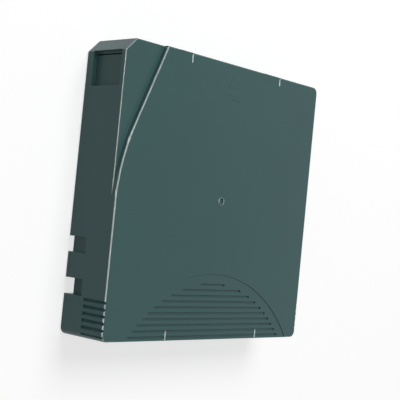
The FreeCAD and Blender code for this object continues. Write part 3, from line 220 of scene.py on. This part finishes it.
def drawnMetal(look):
    # fine scratches that follow one way along the metal, and broad patches that are duller
    group, entry, leave = newGroup(
        "drawnMetal",
        [("Vector", "NodeSocketVector", None), ("Stretch", "NodeSocketVector", (1.0, 1.0, 1.0)),
         ("Roughness", "NodeSocketFloat", 0.3)],
        [("Scratches", "NodeSocketFloat"), ("Roughness", "NodeSocketFloat")])
    stretched = addNode(group, "ShaderNodeVectorMath", operation="MULTIPLY")
    group.links.new(entry.outputs["Vector"], stretched.inputs[0])
    group.links.new(entry.outputs["Stretch"], stretched.inputs[1])
    fine = addNoise(group, stretched.outputs[0], **look["fine"])
    broad = addNoise(group, entry.outputs["Vector"], **look["broad"])
    group.links.new(fine, leave.inputs["Scratches"])
    swing = addMath(group, "SUBTRACT", addMath(group, "ADD", fine, broad), 2 * noiseMiddle)
    spread = addMath(group, "MULTIPLY", swing, look["roughSpread"])
    rough = addMath(group, "ADD", entry.outputs["Roughness"], spread, clamp=True)
    group.links.new(rough, leave.inputs["Roughness"])
    return group


# noise that makes the painted edge highlight uneven
rimHighlightPattern = {"patchy": {"scale": 0.4, "detail": 3.0, "roughness": 0.6},
              "patchyShare": 0.6, "evenShare": 0.6}


def paintedEdgeHighlight(look):
    # painted highlight on the roundings between level and upright faces, standing in for the light that
    # rounded edges catch, with a little rim wear, broken up by a little noise
    group, entry, leave = newGroup(
        "paintedEdgeHighlight",
        [("Vector", "NodeSocketVector", None), ("Normal", "NodeSocketVector", None),
         ("Low", "NodeSocketFloat", 0.10), ("High", "NodeSocketFloat", 0.32),
         ("Cross", "NodeSocketFloat", 0.5)],
        [("Mask", "NodeSocketFloat")])
    parts = addNode(group, "ShaderNodeSeparateXYZ")
    group.links.new(entry.outputs["Normal"], parts.inputs[0])
    sideways = addMath(group, "ABSOLUTE", parts.outputs["X"])
    lengthways = addMath(group, "MULTIPLY", addMath(group, "ABSOLUTE", parts.outputs["Y"]),
                         entry.outputs["Cross"])
    upright = addMath(group, "MAXIMUM", sideways, lengthways)
    slope = addMath(group, "MULTIPLY", upright, addMath(group, "ABSOLUTE", parts.outputs["Z"]))
    span = addMath(group, "SUBTRACT", entry.outputs["High"], entry.outputs["Low"])
    rise = addMath(group, "DIVIDE", addMath(group, "SUBTRACT", slope, entry.outputs["Low"]), span,
                   clamp=True)
    patchy = addNoise(group, entry.outputs["Vector"], **look["patchy"])
    share = addMath(group, "ADD", addMath(group, "MULTIPLY", patchy, look["patchyShare"]),
                    look["evenShare"], clamp=True)
    group.links.new(addMath(group, "MULTIPLY", rise, share), leave.inputs["Mask"])
    return group


surfaceGroup = mouldedSurface(mouldedPattern)
edgeHighlightGroup = paintedEdgeHighlight(rimHighlightPattern)
ringsGroup = turnedRings(ringPattern)
metalGroup = drawnMetal(scratchPattern)
print("shared effects ready")


# materials

def newMaterial(name):
    material = bpy.data.materials.new(name)
    material.use_nodes = True
    tree = material.node_tree
    shader = tree.nodes["Principled BSDF"]
    place = addNode(tree, "ShaderNodeTexCoord")
    mapping = addNode(tree, "ShaderNodeMapping")
    mapping.inputs["Scale"].default_value = (perMetre, perMetre, perMetre)   # so patterns are in mm
    tree.links.new(place.outputs["Object"], mapping.inputs["Vector"])
    return material, tree, shader, mapping.outputs["Vector"]


def addBump(tree, shader, height, strength, distance):
    bump = addNode(tree, "ShaderNodeBump")
    bump.inputs["Strength"].default_value = strength
    bump.inputs["Distance"].default_value = distance
    tree.links.new(height, bump.inputs["Height"])
    tree.links.new(bump.outputs["Normal"], shader.inputs["Normal"])


def addSurface(tree, vector, look):
    surface = addNode(tree, "ShaderNodeGroup", node_tree=surfaceGroup)
    tree.links.new(vector, surface.inputs["Vector"])
    setInputs(surface, Colour=(*look["colour"], 1), Drift=look["drift"], Roughness=look["roughness"],
              Rough_Spread=look["spread"], Grain=look["grain"])
    return surface


wornShine = 0.08   # how much smoother a rubbed rim is
plasticIor = 1.5


def plasticMaterial(name, look):
    material, tree, shader, vector = newMaterial(name)
    surface = addSurface(tree, vector, look)
    edge = addNode(tree, "ShaderNodeGroup", node_tree=edgeHighlightGroup)
    tree.links.new(vector, edge.inputs["Vector"])
    tree.links.new(tree.nodes["Texture Coordinate"].outputs["Normal"], edge.inputs["Normal"])
    # painted highlight: the base colour turns pale along the rounded edges that the mask finds, together
    # with a little rim wear
    highlightAndWear = addMath(tree, "MULTIPLY", edge.outputs["Mask"], look["highlightAndWearLevel"])
    colour = mixColour(tree, highlightAndWear, surface.outputs["Colour"], look["highlightAndWearColour"])
    tree.links.new(colour, shader.inputs["Base Color"])
    smoother = addMath(tree, "MULTIPLY", highlightAndWear, wornShine)
    rough = addMath(tree, "SUBTRACT", surface.outputs["Roughness"], smoother)
    tree.links.new(rough, shader.inputs["Roughness"])
    shader.inputs["Specular IOR Level"].default_value = look["specular"]
    shader.inputs["IOR"].default_value = plasticIor
    addBump(tree, shader, surface.outputs["Height"], look["bump"], look["bumpDepth"])
    return material


# the pale rim colour and its level in each look give the painted edge highlight, with a little rim wear;
# the case plastic's is the strongest
plasticLooks = {
    "casePlastic": {"colour": (0.044, 0.115, 0.115), "drift": 0.07, "roughness": 0.30, "spread": 0.05,
                    "grain": 4.2, "specular": 0.26, "bump": 0.22, "bumpDepth": 0.00006,
                    "highlightAndWearLevel": 1.0, "highlightAndWearColour": (0.42, 0.52, 0.50)},
    "doorPlastic": {"colour": (0.040, 0.098, 0.099), "drift": 0.07, "roughness": 0.36, "spread": 0.08,
                    "grain": 3.2, "specular": 0.24, "bump": 0.2, "bumpDepth": 0.00005,
                    "highlightAndWearLevel": 0.4, "highlightAndWearColour": (0.20, 0.29, 0.28)},
    "tabPlastic": {"colour": (0.52, 0.055, 0.035), "drift": 0.05, "roughness": 0.40, "spread": 0.07,
                   "grain": 3.0, "specular": 0.5, "bump": 0.18, "bumpDepth": 0.00005,
                   "highlightAndWearLevel": 0.3, "highlightAndWearColour": (0.66, 0.20, 0.16)},
    "brakePlastic": {"colour": (0.70, 0.69, 0.64), "drift": 0.03, "roughness": 0.42, "spread": 0.06,
                     "grain": 2.4, "specular": 0.5, "bump": 0.12, "bumpDepth": 0.00005,
                     "highlightAndWearLevel": 0.3, "highlightAndWearColour": (0.80, 0.79, 0.75)},
    "padPlastic": {"colour": (0.76, 0.75, 0.71), "drift": 0.03, "roughness": 0.36, "spread": 0.06,
                   "grain": 2.0, "specular": 0.5, "bump": 0.10, "bumpDepth": 0.00004,
                   "highlightAndWearLevel": 0.3, "highlightAndWearColour": (0.84, 0.83, 0.80)},
    "chipResin": {"colour": (0.017, 0.017, 0.018), "drift": 0.12, "roughness": 0.55, "spread": 0.05,
                  "grain": 7.0, "specular": 0.45, "bump": 0.3, "bumpDepth": 0.00004,
                  "highlightAndWearLevel": 0.3, "highlightAndWearColour": (0.05, 0.05, 0.052)},
}
materials = {name: plasticMaterial(name, look) for name, look in plasticLooks.items()}


def clearPlasticMaterial(look):
    material, tree, shader, vector = newMaterial("clearPlastic")
    surface = addSurface(tree, vector, look)
    tree.links.new(surface.outputs["Colour"], shader.inputs["Base Color"])
    tree.links.new(surface.outputs["Roughness"], shader.inputs["Roughness"])
    shader.inputs["Transmission Weight"].default_value = look["transmission"]
    shader.inputs["IOR"].default_value = look["ior"]
    addBump(tree, shader, surface.outputs["Height"], look["bump"], look["bumpDepth"])
    return material


materials["clearPlastic"] = clearPlasticMaterial(
    {"colour": (0.95, 0.965, 0.975), "drift": 0.02, "roughness": 0.05, "spread": 0.05, "grain": 0.5,
     "transmission": 0.99, "ior": 1.58, "bump": 0.05, "bumpDepth": 0.00004})


def tapeMaterial(look):
    material, tree, shader, vector = newMaterial("tapeFilm")
    rings = addNode(tree, "ShaderNodeGroup", node_tree=ringsGroup)
    tree.links.new(vector, rings.inputs["Vector"])
    setInputs(rings, Pitch=look["pitch"], Wander=look["wander"])
    base = mixColour(tree, rings.outputs["Bands"], look["dark"], look["pale"])
    colour = mixColour(tree, rings.outputs["Rings"], base, look["edge"], "ADD")
    tree.links.new(colour, shader.inputs["Base Color"])
    rough = addMath(tree, "ADD", addMath(tree, "MULTIPLY", rings.outputs["Rings"], look["roughSpread"]),
                    look["roughness"])
    tree.links.new(rough, shader.inputs["Roughness"])
    addBump(tree, shader, rings.outputs["Rings"], look["bump"], look["bumpDepth"])
    return material


materials["tapeFilm"] = tapeMaterial(
    {"pitch": 0.09, "wander": 0.25, "dark": (0.006, 0.006, 0.007), "pale": (0.013, 0.013, 0.014),
     "edge": (0.006, 0.006, 0.006), "roughness": 0.22, "roughSpread": 0.25,
     "bump": 0.35, "bumpDepth": 0.00003})


def metalMaterial(name, look):
    material, tree, shader, vector = newMaterial(name)
    metal = addNode(tree, "ShaderNodeGroup", node_tree=metalGroup)
    tree.links.new(vector, metal.inputs["Vector"])
    setInputs(metal, Stretch=look["stretch"], Roughness=look["roughness"])
    colour = mixColour(tree, metal.outputs["Scratches"], look["dark"], look["pale"])
    tree.links.new(colour, shader.inputs["Base Color"])
    tree.links.new(metal.outputs["Roughness"], shader.inputs["Roughness"])
    shader.inputs["Metallic"].default_value = 1.0
    addBump(tree, shader, metal.outputs["Scratches"], look["bump"], look["bumpDepth"])
    return material


metalLooks = {
    "platedSteel": {"dark": (0.50, 0.50, 0.48), "pale": (0.68, 0.67, 0.64), "stretch": (0.25, 2.2, 1.0),
                    "roughness": 0.27, "bump": 0.15, "bumpDepth": 0.00004},
    "springSteel": {"dark": (0.40, 0.40, 0.40), "pale": (0.60, 0.59, 0.57), "stretch": (1.0, 1.0, 3.0),
                    "roughness": 0.24, "bump": 0.12, "bumpDepth": 0.00003},
    "screwSteel": {"dark": (0.34, 0.34, 0.34), "pale": (0.55, 0.54, 0.52), "stretch": (1.5, 1.5, 0.5),
                   "roughness": 0.32, "bump": 0.14, "bumpDepth": 0.00003},
}
materials.update({name: metalMaterial(name, look) for name, look in metalLooks.items()})


def boardMaterial(look):
    # solder lacquer over woven glass cloth
    material, tree, shader, vector = newMaterial("boardResin")
    parts = addNode(tree, "ShaderNodeSeparateXYZ")
    tree.links.new(vector, parts.inputs[0])
    warp, weft = [addMath(tree, "SINE", addMath(tree, "MULTIPLY", parts.outputs[axis], look["threads"]))
                  for axis in ("X", "Z")]
    weave = addMath(tree, "MULTIPLY", addMath(tree, "ADD", warp, weft), 0.5)
    patches = addNoise(tree, vector, **look["patches"])
    tint = addMath(tree, "ADD", addMath(tree, "MULTIPLY", weave, look["weaveTint"]), patches, clamp=True)
    tree.links.new(mixColour(tree, tint, look["dark"], look["pale"]), shader.inputs["Base Color"])
    rough = addMath(tree, "ADD", addMath(tree, "MULTIPLY", patches, look["roughSpread"]),
                    look["roughness"])
    tree.links.new(rough, shader.inputs["Roughness"])
    addBump(tree, shader, weave, look["bump"], look["bumpDepth"])
    return material


materials["boardResin"] = boardMaterial(
    {"threads": 9.0, "weaveTint": 0.2, "patches": {"scale": 0.7, "detail": 3.0},
     "dark": (0.016, 0.11, 0.045), "pale": (0.03, 0.18, 0.07), "roughness": 0.2, "roughSpread": 0.15,
     "bump": 0.2, "bumpDepth": 0.00003})

nodeFinishes = {
    "lower_shell": ("casePlastic", "case_plastic"), "upper_shell": ("casePlastic", "case_plastic"),
    "reel_hub": ("clearPlastic", "clear_plastic"),
    "reel_upper_flange": ("clearPlastic", "clear_plastic"),
    "tape_pack": ("tapeFilm", "tape_film"), "tape_leader": ("tapeFilm", "tape_film"),
    "reel_plate": ("platedSteel", "plated_steel"), "leader_pin": ("platedSteel", "plated_steel"),
    "brake_button": ("brakePlastic", "brake_plastic"), "release_pad": ("padPlastic", "pad_plastic"),
    "leader_clip": ("padPlastic", "pad_plastic"), "brake_spring": ("springSteel", "spring_steel"),
    "pin_spring": ("springSteel", "spring_steel"), "door_spring": ("springSteel", "spring_steel"),
    "access_door": ("doorPlastic", "door_plastic"), "write_protect_tab": ("tabPlastic", "tab_plastic"),
    "memory_board": ("boardResin", "board_resin"), "memory_chip": ("chipResin", "chip_resin"),
    "case_screws": ("screwSteel", "plated_steel"),
}
for name, (finish, slotName) in nodeFinishes.items():
    nodes[name].data.materials.clear()
    nodes[name].data.materials.append(materials[finish])
print("materials on", len(nodeFinishes), "pieces")


# added pieces

def finishPiece(shape, name, body, material):
    bmesh.ops.remove_doubles(shape, verts=shape.verts, dist=mergeDistance)
    bmesh.ops.recalc_face_normals(shape, faces=shape.faces)
    mesh = bpy.data.meshes.new(name)
    shape.to_mesh(mesh)
    shape.free()
    piece = bpy.data.objects.new(name, mesh)
    bpy.context.scene.collection.objects.link(piece)
    mesh.materials.append(material)
    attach(piece, body)
    return piece


def smoothTurned(shape, sharpAngle=0.7):
    for face in shape.faces:
        face.smooth = True
    for edge in shape.edges:
        if len(edge.link_faces) == 2 and edge.calc_face_angle(0.0) > sharpAngle:
            edge.smooth = False


def spinProfile(shape, points, centre, steps, close=True):
    # turns a profile of radius and height in millimetres once round the Z axis
    verts = [shape.verts.new((centre[0] + radius * millimetre, centre[1], height * millimetre))
             for radius, height in points]
    edges = [shape.edges.new(pair) for pair in zip(verts, verts[1:])]
    if close:
        edges.append(shape.edges.new((verts[-1], verts[0])))
    bmesh.ops.spin(shape, geom=verts + edges, cent=(centre[0], centre[1], 0.0), axis=(0, 0, 1),
                   angle=2 * math.pi, steps=steps, use_merge=True, use_duplicate=False)


def addRecess(shape, place, look):
    # the screwdriver's lobed socket, sunk into the head's flat
    rim = bmesh.ops.create_circle(shape, cap_ends=False, segments=look["steps"],
                                  radius=look["headFlat"] * millimetre)["verts"]
    lobes = bmesh.ops.create_circle(shape, cap_ends=True, segments=look["steps"],
                                    radius=1.0 * millimetre)["verts"]
    for vert in lobes:
        turn = math.atan2(vert.co.y, vert.co.x)
        reach = look["lobeMiddle"] + look["lobeSwing"] * math.cos(look["lobes"] * turn)
        vert.co = Vector((math.cos(turn), math.sin(turn), 0.0)) * reach * millimetre
    rimEdges = [edge for edge in shape.edges if all(vert in rim for vert in edge.verts)]
    socketFace = next(face for face in shape.faces if all(vert in lobes for vert in face.verts))
    lobeEdges = list(socketFace.edges)
    bmesh.ops.bridge_loops(shape, edges=rimEdges + lobeEdges)
    sunk = bmesh.ops.extrude_face_region(shape, geom=[socketFace])
    deep = [item for item in sunk["geom"] if isinstance(item, bmesh.types.BMVert)]
    bmesh.ops.translate(shape, verts=deep, vec=(0, 0, look["socketDeep"] * millimetre))
    bmesh.ops.scale(shape, verts=deep, vec=(look["socketTaper"], look["socketTaper"], 1.0))
    bmesh.ops.delete(shape, geom=[socketFace], context="FACES_KEEP_BOUNDARY")
    moved = set(rim) | set(lobes) | set(deep)
    bmesh.ops.translate(shape, verts=list(moved), vec=(place[0], place[1], place[2]))


screwSet = {
    "places": ((41.5, 43.5), (-30.0, 45.9), (46.0, -36.5), (-39.3, -37.6)), "steps": 24,
    "headFlat": 1.62, "headRadius": 2.0, "headHigh": 1.3, "headRound": 0.34,
    "crownIn": 0.06, "crownHigh": 0.4,
    "shank": 1.08, "root": 0.86, "threadPitch": 0.9, "threadFrom": 3.4, "threadClear": 0.7,
    "rootFrom": 0.35, "rootTo": 0.65,
    "tipFrom": 0.5, "tip": ((0.3, 0.05), (0.02, 0.01)),   # each a radius and a distance from the end
    "tipZone": 0.2,
    "lobes": 6, "lobeMiddle": 0.83, "lobeSwing": 0.15, "socketDeep": 0.75, "socketTaper": 0.88,
    "mergeDistance": 0.000004,
}


def makeScrews(look):
    low, high = (corner.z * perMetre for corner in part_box("case_screws"))
    shape = bmesh.new()
    for x, y in look["places"]:
        profile = [(look["headFlat"], low),
                   (look["headRadius"] - look["crownIn"], low + look["headRound"] * look["crownHigh"]),
                   (look["headRadius"], low + look["headRound"]),
                   (look["headRadius"], low + look["headHigh"]),
                   (look["shank"], low + look["headHigh"]), (look["shank"], low + look["threadFrom"])]
        height = low + look["threadFrom"]
        while height + look["threadPitch"] < high - look["threadClear"]:
            profile.append((look["root"], height + look["threadPitch"] * look["rootFrom"]))
            profile.append((look["root"], height + look["threadPitch"] * look["rootTo"]))
            profile.append((look["shank"], height + look["threadPitch"]))
            height += look["threadPitch"]
        profile.append((look["root"], high - look["tipFrom"]))
        profile += [(radius, high - below) for radius, below in look["tip"]]
        single = bmesh.new()
        centre = (x * millimetre, y * millimetre)
        spinProfile(single, profile, centre, look["steps"], close=False)
        tip = [edge for edge in single.edges if edge.is_boundary
               and min(vert.co.z for vert in edge.verts) * perMetre > high - look["tipZone"]]
        bmesh.ops.holes_fill(single, edges=tip, sides=0)
        addRecess(single, (centre[0], centre[1], low * millimetre), look)
        bmesh.ops.remove_doubles(single, verts=single.verts, dist=look["mergeDistance"])
        bmesh.ops.recalc_face_normals(single, faces=single.faces)
        smoothTurned(single)
        copied = bpy.data.meshes.new("screwCopy")
        single.to_mesh(copied)
        single.free()
        shape.from_mesh(copied)
        bpy.data.meshes.remove(copied)
    piece = finishPiece(shape, "detailed_case_screws", "case", materials["screwSteel"])
    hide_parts("case_screws")


makeScrews(screwSet)

coilMerge = 0.000002
coilSprings = {   # each spring gets a smoothed copy; its fixed end is worked out, but the coils are not closed as the joint moves
    "brake_spring": {"name": "brake_coil", "joint": "brake_lift", "axis": 2, "fixedEnd": "high",
                     "travel": 1.6},
    "door_spring": {"name": "door_coil", "joint": "door_slide", "axis": 1, "fixedEnd": "low",
                    "travel": 11.2},
}


def makeCoil(node, look):
    low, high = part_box(node)
    shape = bmesh.new()
    shape.from_mesh(nodes[node].data)
    bmesh.ops.remove_doubles(shape, verts=shape.verts, dist=coilMerge)
    smoothTurned(shape)
    piece = finishPiece(shape, look["name"], "case", materials["springSteel"])
    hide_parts(node)
    middle = (low + high) / 2
    fixed = list(middle)
    fixed[look["axis"]] = {"low": low, "high": high}[look["fixedEnd"]][look["axis"]]
    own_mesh(piece)


for node, look in coilSprings.items():
    makeCoil(node, look)

gateRing = {"inner": 1.02, "crestInner": 1.16, "crestOuter": 1.42, "outer": 1.75, "proud": 0.13,
            "sink": 0.03, "innerHigh": 0.9, "outerHigh": 0.8, "steps": 48}


def makeGateRing(look):
    # the low ring round the moulding gate in the middle of the lid
    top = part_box("upper_shell")[1].z * perMetre
    shape = bmesh.new()
    profile = [(look["inner"], top - look["sink"]),
               (look["crestInner"], top + look["proud"] * look["innerHigh"]),
               ((look["crestInner"] + look["crestOuter"]) / 2, top + look["proud"]),
               (look["crestOuter"], top + look["proud"] * look["outerHigh"]),
               (look["outer"], top - look["sink"])]
    spinProfile(shape, profile, (0.0, 0.0), look["steps"])
    for face in shape.faces:
        face.smooth = True
    finishPiece(shape, "gate_ring", "case", materials["casePlastic"])


makeGateRing(gateRing)

insertMark = {"apex": (1.0, 47.0), "base": 42.4, "left": -2.4, "right": 4.4, "line": 0.42, "proud": 0.07,
              "sink": 0.02, "arcCentre": (0.5, 21.0), "arcRadii": (17.2, 18.6), "arcTurn": 0.52,
              "arcLine": 0.4, "arcSteps": 24}


def makeInsertMark(look):
    # a faint raised arrow and two arcs that point to the end that goes in first
    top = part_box("upper_shell")[1].z * perMetre
    shape = bmesh.new()
    corners = [(look["left"], look["base"]), (look["right"], look["base"]), look["apex"]]
    verts = [shape.verts.new((x * millimetre, y * millimetre, (top - look["sink"]) * millimetre))
             for x, y in corners]
    outline = shape.faces.new(verts)
    bmesh.ops.inset_region(shape, faces=[outline], thickness=look["line"] * millimetre,
                           use_boundary=True)
    bmesh.ops.delete(shape, geom=[outline], context="FACES_ONLY")
    lifted = bmesh.ops.extrude_face_region(shape, geom=list(shape.faces), use_keep_orig=True)
    raised = [item for item in lifted["geom"] if isinstance(item, bmesh.types.BMVert)]
    bmesh.ops.translate(shape, verts=raised, vec=(0, 0, (look["proud"] + look["sink"]) * millimetre))
    for radius in look["arcRadii"]:
        centre = Vector((look["arcCentre"][0] * millimetre, look["arcCentre"][1] * millimetre, 0.0))
        half = look["line"] * look["arcLine"]
        section = ((-half, top - look["sink"]), (half, top - look["sink"]),
                   (half, top + look["proud"]), (-half, top + look["proud"]))
        strip = [shape.verts.new(centre + Vector((0.0, radius + side, height)) * millimetre)
                 for side, height in section]
        bmesh.ops.rotate(shape, verts=strip, cent=centre,
                         matrix=Matrix.Rotation(-look["arcTurn"] / 2, 3, "Z"))
        end = shape.faces.new(strip)
        bmesh.ops.spin(shape, geom=[end], cent=centre, axis=(0, 0, 1), angle=look["arcTurn"],
                       steps=look["arcSteps"], use_merge=False, use_duplicate=False)
    bmesh.ops.remove_doubles(shape, verts=shape.verts, dist=mergeDistance)
    bmesh.ops.holes_fill(shape, edges=[edge for edge in shape.edges if edge.is_boundary], sides=0)
    finishPiece(shape, "insert_mark", "case", materials["casePlastic"])


makeInsertMark(insertMark)

markRamps = {"frontX": (-22.2, 27.9), "rearX": (-22.6, 27.2), "near": 47.5, "far": 50.6,
             "deep": 0.35, "run": 0.26, "bury": 0.01}


def makeMarkRamps(look):
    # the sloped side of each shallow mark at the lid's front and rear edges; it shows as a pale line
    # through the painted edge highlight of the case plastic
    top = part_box("upper_shell")[1].z * perMetre
    shape = bmesh.new()
    for side, places in ((1, look["frontX"]), (-1, look["rearX"])):
        near = side * look["near"] * millimetre
        for x in places:
            corners = ((x - look["run"], top - look["deep"]), (x, top - look["deep"]),
                       (x, top - look["bury"]))
            verts = [shape.verts.new((across * millimetre, near, height * millimetre))
                     for across, height in corners]
            section = shape.faces.new(verts)
            drawn = bmesh.ops.extrude_face_region(shape, geom=[section], use_keep_orig=True)
            moved = [item for item in drawn["geom"] if isinstance(item, bmesh.types.BMVert)]
            reach = side * (look["far"] - look["near"]) * millimetre
            bmesh.ops.translate(shape, verts=moved, vec=(0, reach, 0))
    finishPiece(shape, "mark_ramps", "case", materials["casePlastic"])


makeMarkRamps(markRamps)
print("added pieces ready")


# studio

studio = {
    "floorSize": 6.0, "floorDrop": 0.1, "floorColour": (0.50, 0.50, 0.50), "floorRoughness": 0.9,
    "floorSpecular": 0.1, "floorGlow": 0.66, "farGlow": 0.9, "glowFrom": 0.3, "glowTo": 2.2,
    "openingX": (-46.0, 50.5), "openingY": (-49.0, 49.0), "openingCorner": 12.0, "worldLevel": 0.24,
    "cameraFrom": (-0.2710, -0.0094, 0.2594), "pictureUp": (-0.0969, 0.9944, -0.0433),
    "lens": 88.0, "sensorWidth": 36.0, "clipStart": 0.01,
}


def seenDirectly(tree):
    # 1 where the camera, a reflection or a clear part looks on, 0 for the light that falls on things
    path = addNode(tree, "ShaderNodeLightPath")
    mirrored = addMath(tree, "MAXIMUM", path.outputs["Is Glossy Ray"],
                       path.outputs["Is Transmission Ray"])
    return addMath(tree, "MAXIMUM", path.outputs["Is Camera Ray"], mirrored)


def makeFloor(look):
    mesh = bpy.data.meshes.new("studioFloor")
    shape = bmesh.new()
    bmesh.ops.create_grid(shape, x_segments=1, y_segments=1, size=look["floorSize"] / 2)
    sheet = list(shape.faces)
    bmesh.ops.inset_region(shape, faces=sheet, thickness=look["floorSize"] / 4, use_boundary=True)
    for vert in sheet[0].verts:   # an opening that the case covers, to see its underside from below
        vert.co.x = look["openingX"][vert.co.x > 0] * millimetre
        vert.co.y = look["openingY"][vert.co.y > 0] * millimetre
    bmesh.ops.bevel(shape, geom=list(sheet[0].verts), affect="VERTICES",
                    offset=look["openingCorner"] * millimetre, segments=1, profile=0.5, material=-1)
    hole = min(shape.faces, key=lambda face: face.calc_center_median().length)
    bmesh.ops.delete(shape, geom=[hole], context="FACES_ONLY")
    bmesh.ops.translate(shape, verts=shape.verts, vec=(0, 0, -look["floorDrop"] * millimetre))
    shape.to_mesh(mesh)
    shape.free()
    floor = bpy.data.objects.new("studioFloor", mesh)
    bpy.context.scene.collection.objects.link(floor)
    material = bpy.data.materials.new("studioFloor")
    material.use_nodes = True
    tree = material.node_tree
    shader = tree.nodes["Principled BSDF"]
    shader.inputs["Base Color"].default_value = (*look["floorColour"], 1)
    shader.inputs["Roughness"].default_value = look["floorRoughness"]
    shader.inputs["Specular IOR Level"].default_value = look["floorSpecular"]
    shader.inputs["Emission Color"].default_value = (1, 1, 1, 1)
    place = addNode(tree, "ShaderNodeTexCoord")
    away = addNode(tree, "ShaderNodeVectorMath", operation="LENGTH")
    tree.links.new(place.outputs["Object"], away.inputs[0])
    far = addNode(tree, "ShaderNodeMapRange", interpolation_type="SMOOTHSTEP")
    tree.links.new(away.outputs["Value"], far.inputs["Value"])
    setInputs(far, From_Min=look["glowFrom"], From_Max=look["glowTo"], To_Min=look["floorGlow"],
              To_Max=look["farGlow"])
    glow = addMath(tree, "MULTIPLY", seenDirectly(tree), far.outputs["Result"])
    tree.links.new(glow, shader.inputs["Emission Strength"])
    clear = addNode(tree, "ShaderNodeBsdfTransparent")   # the floor is see-through from below
    side = addNode(tree, "ShaderNodeNewGeometry")
    choose = addNode(tree, "ShaderNodeMixShader")
    tree.links.new(side.outputs["Backfacing"], choose.inputs[0])
    tree.links.new(shader.outputs[0], choose.inputs[1])
    tree.links.new(clear.outputs[0], choose.inputs[2])
    tree.links.new(choose.outputs[0], tree.nodes["Material Output"].inputs["Surface"])
    mesh.materials.append(material)


def addLamp(name, aim, look):
    data = bpy.data.lights.new(name, "AREA")
    data.shape = "SQUARE"
    data.size = look["size"]
    data.energy = look["power"]
    lamp = bpy.data.objects.new(name, data)
    bpy.context.scene.collection.objects.link(lamp)
    lamp.location = look["place"]
    lamp.rotation_mode = "QUATERNION"
    lamp.rotation_quaternion = (Vector(aim) - Vector(look["place"])).to_track_quat("-Z", "Y")
    lamp.visible_diffuse = not look["glossOnly"]


lamps = {   # edgeSheen is a wide sheet that only glosses the rounded edges
    "overheadSoftbox": {"place": (0.05, 0.62, 0.90), "size": 0.6, "power": 6.2, "glossOnly": False},
    "edgeSheen": {"place": (-0.70, 0.15, 0.85), "size": 1.3, "power": 50.0, "glossOnly": True},
}
lowest, highest = cadBounds
middle = (lowest + highest) / 2
makeFloor(studio)
for lampName, look in lamps.items():
    addLamp(lampName, middle, look)

world = bpy.data.worlds.new("studioWorld")
world.use_nodes = True
sky = world.node_tree.nodes["Background"]
sky.inputs["Color"].default_value = (1, 1, 1, 1)
extra = addMath(world.node_tree, "MULTIPLY", seenDirectly(world.node_tree), 1.0 - studio["worldLevel"])
level = addMath(world.node_tree, "ADD", extra, studio["worldLevel"])
world.node_tree.links.new(level, sky.inputs["Strength"])
bpy.context.scene.world = world
bpy.context.scene.view_settings.view_transform = "Standard"

cameraData = bpy.data.cameras.new("studioCamera")
cameraData.lens = studio["lens"]
cameraData.sensor_width = studio["sensorWidth"]
cameraData.clip_start = studio["clipStart"]
camera = bpy.data.objects.new("studioCamera", cameraData)
bpy.context.scene.collection.objects.link(camera)
back = (Vector(studio["cameraFrom"]) - middle).normalized()
right = Vector(studio["pictureUp"]).cross(back).normalized()
turned = Matrix((right, back.cross(right), back)).transposed().to_4x4()
camera.matrix_world = Matrix.Translation(studio["cameraFrom"]) @ turned
bpy.context.scene.camera = camera
print("studio ready")
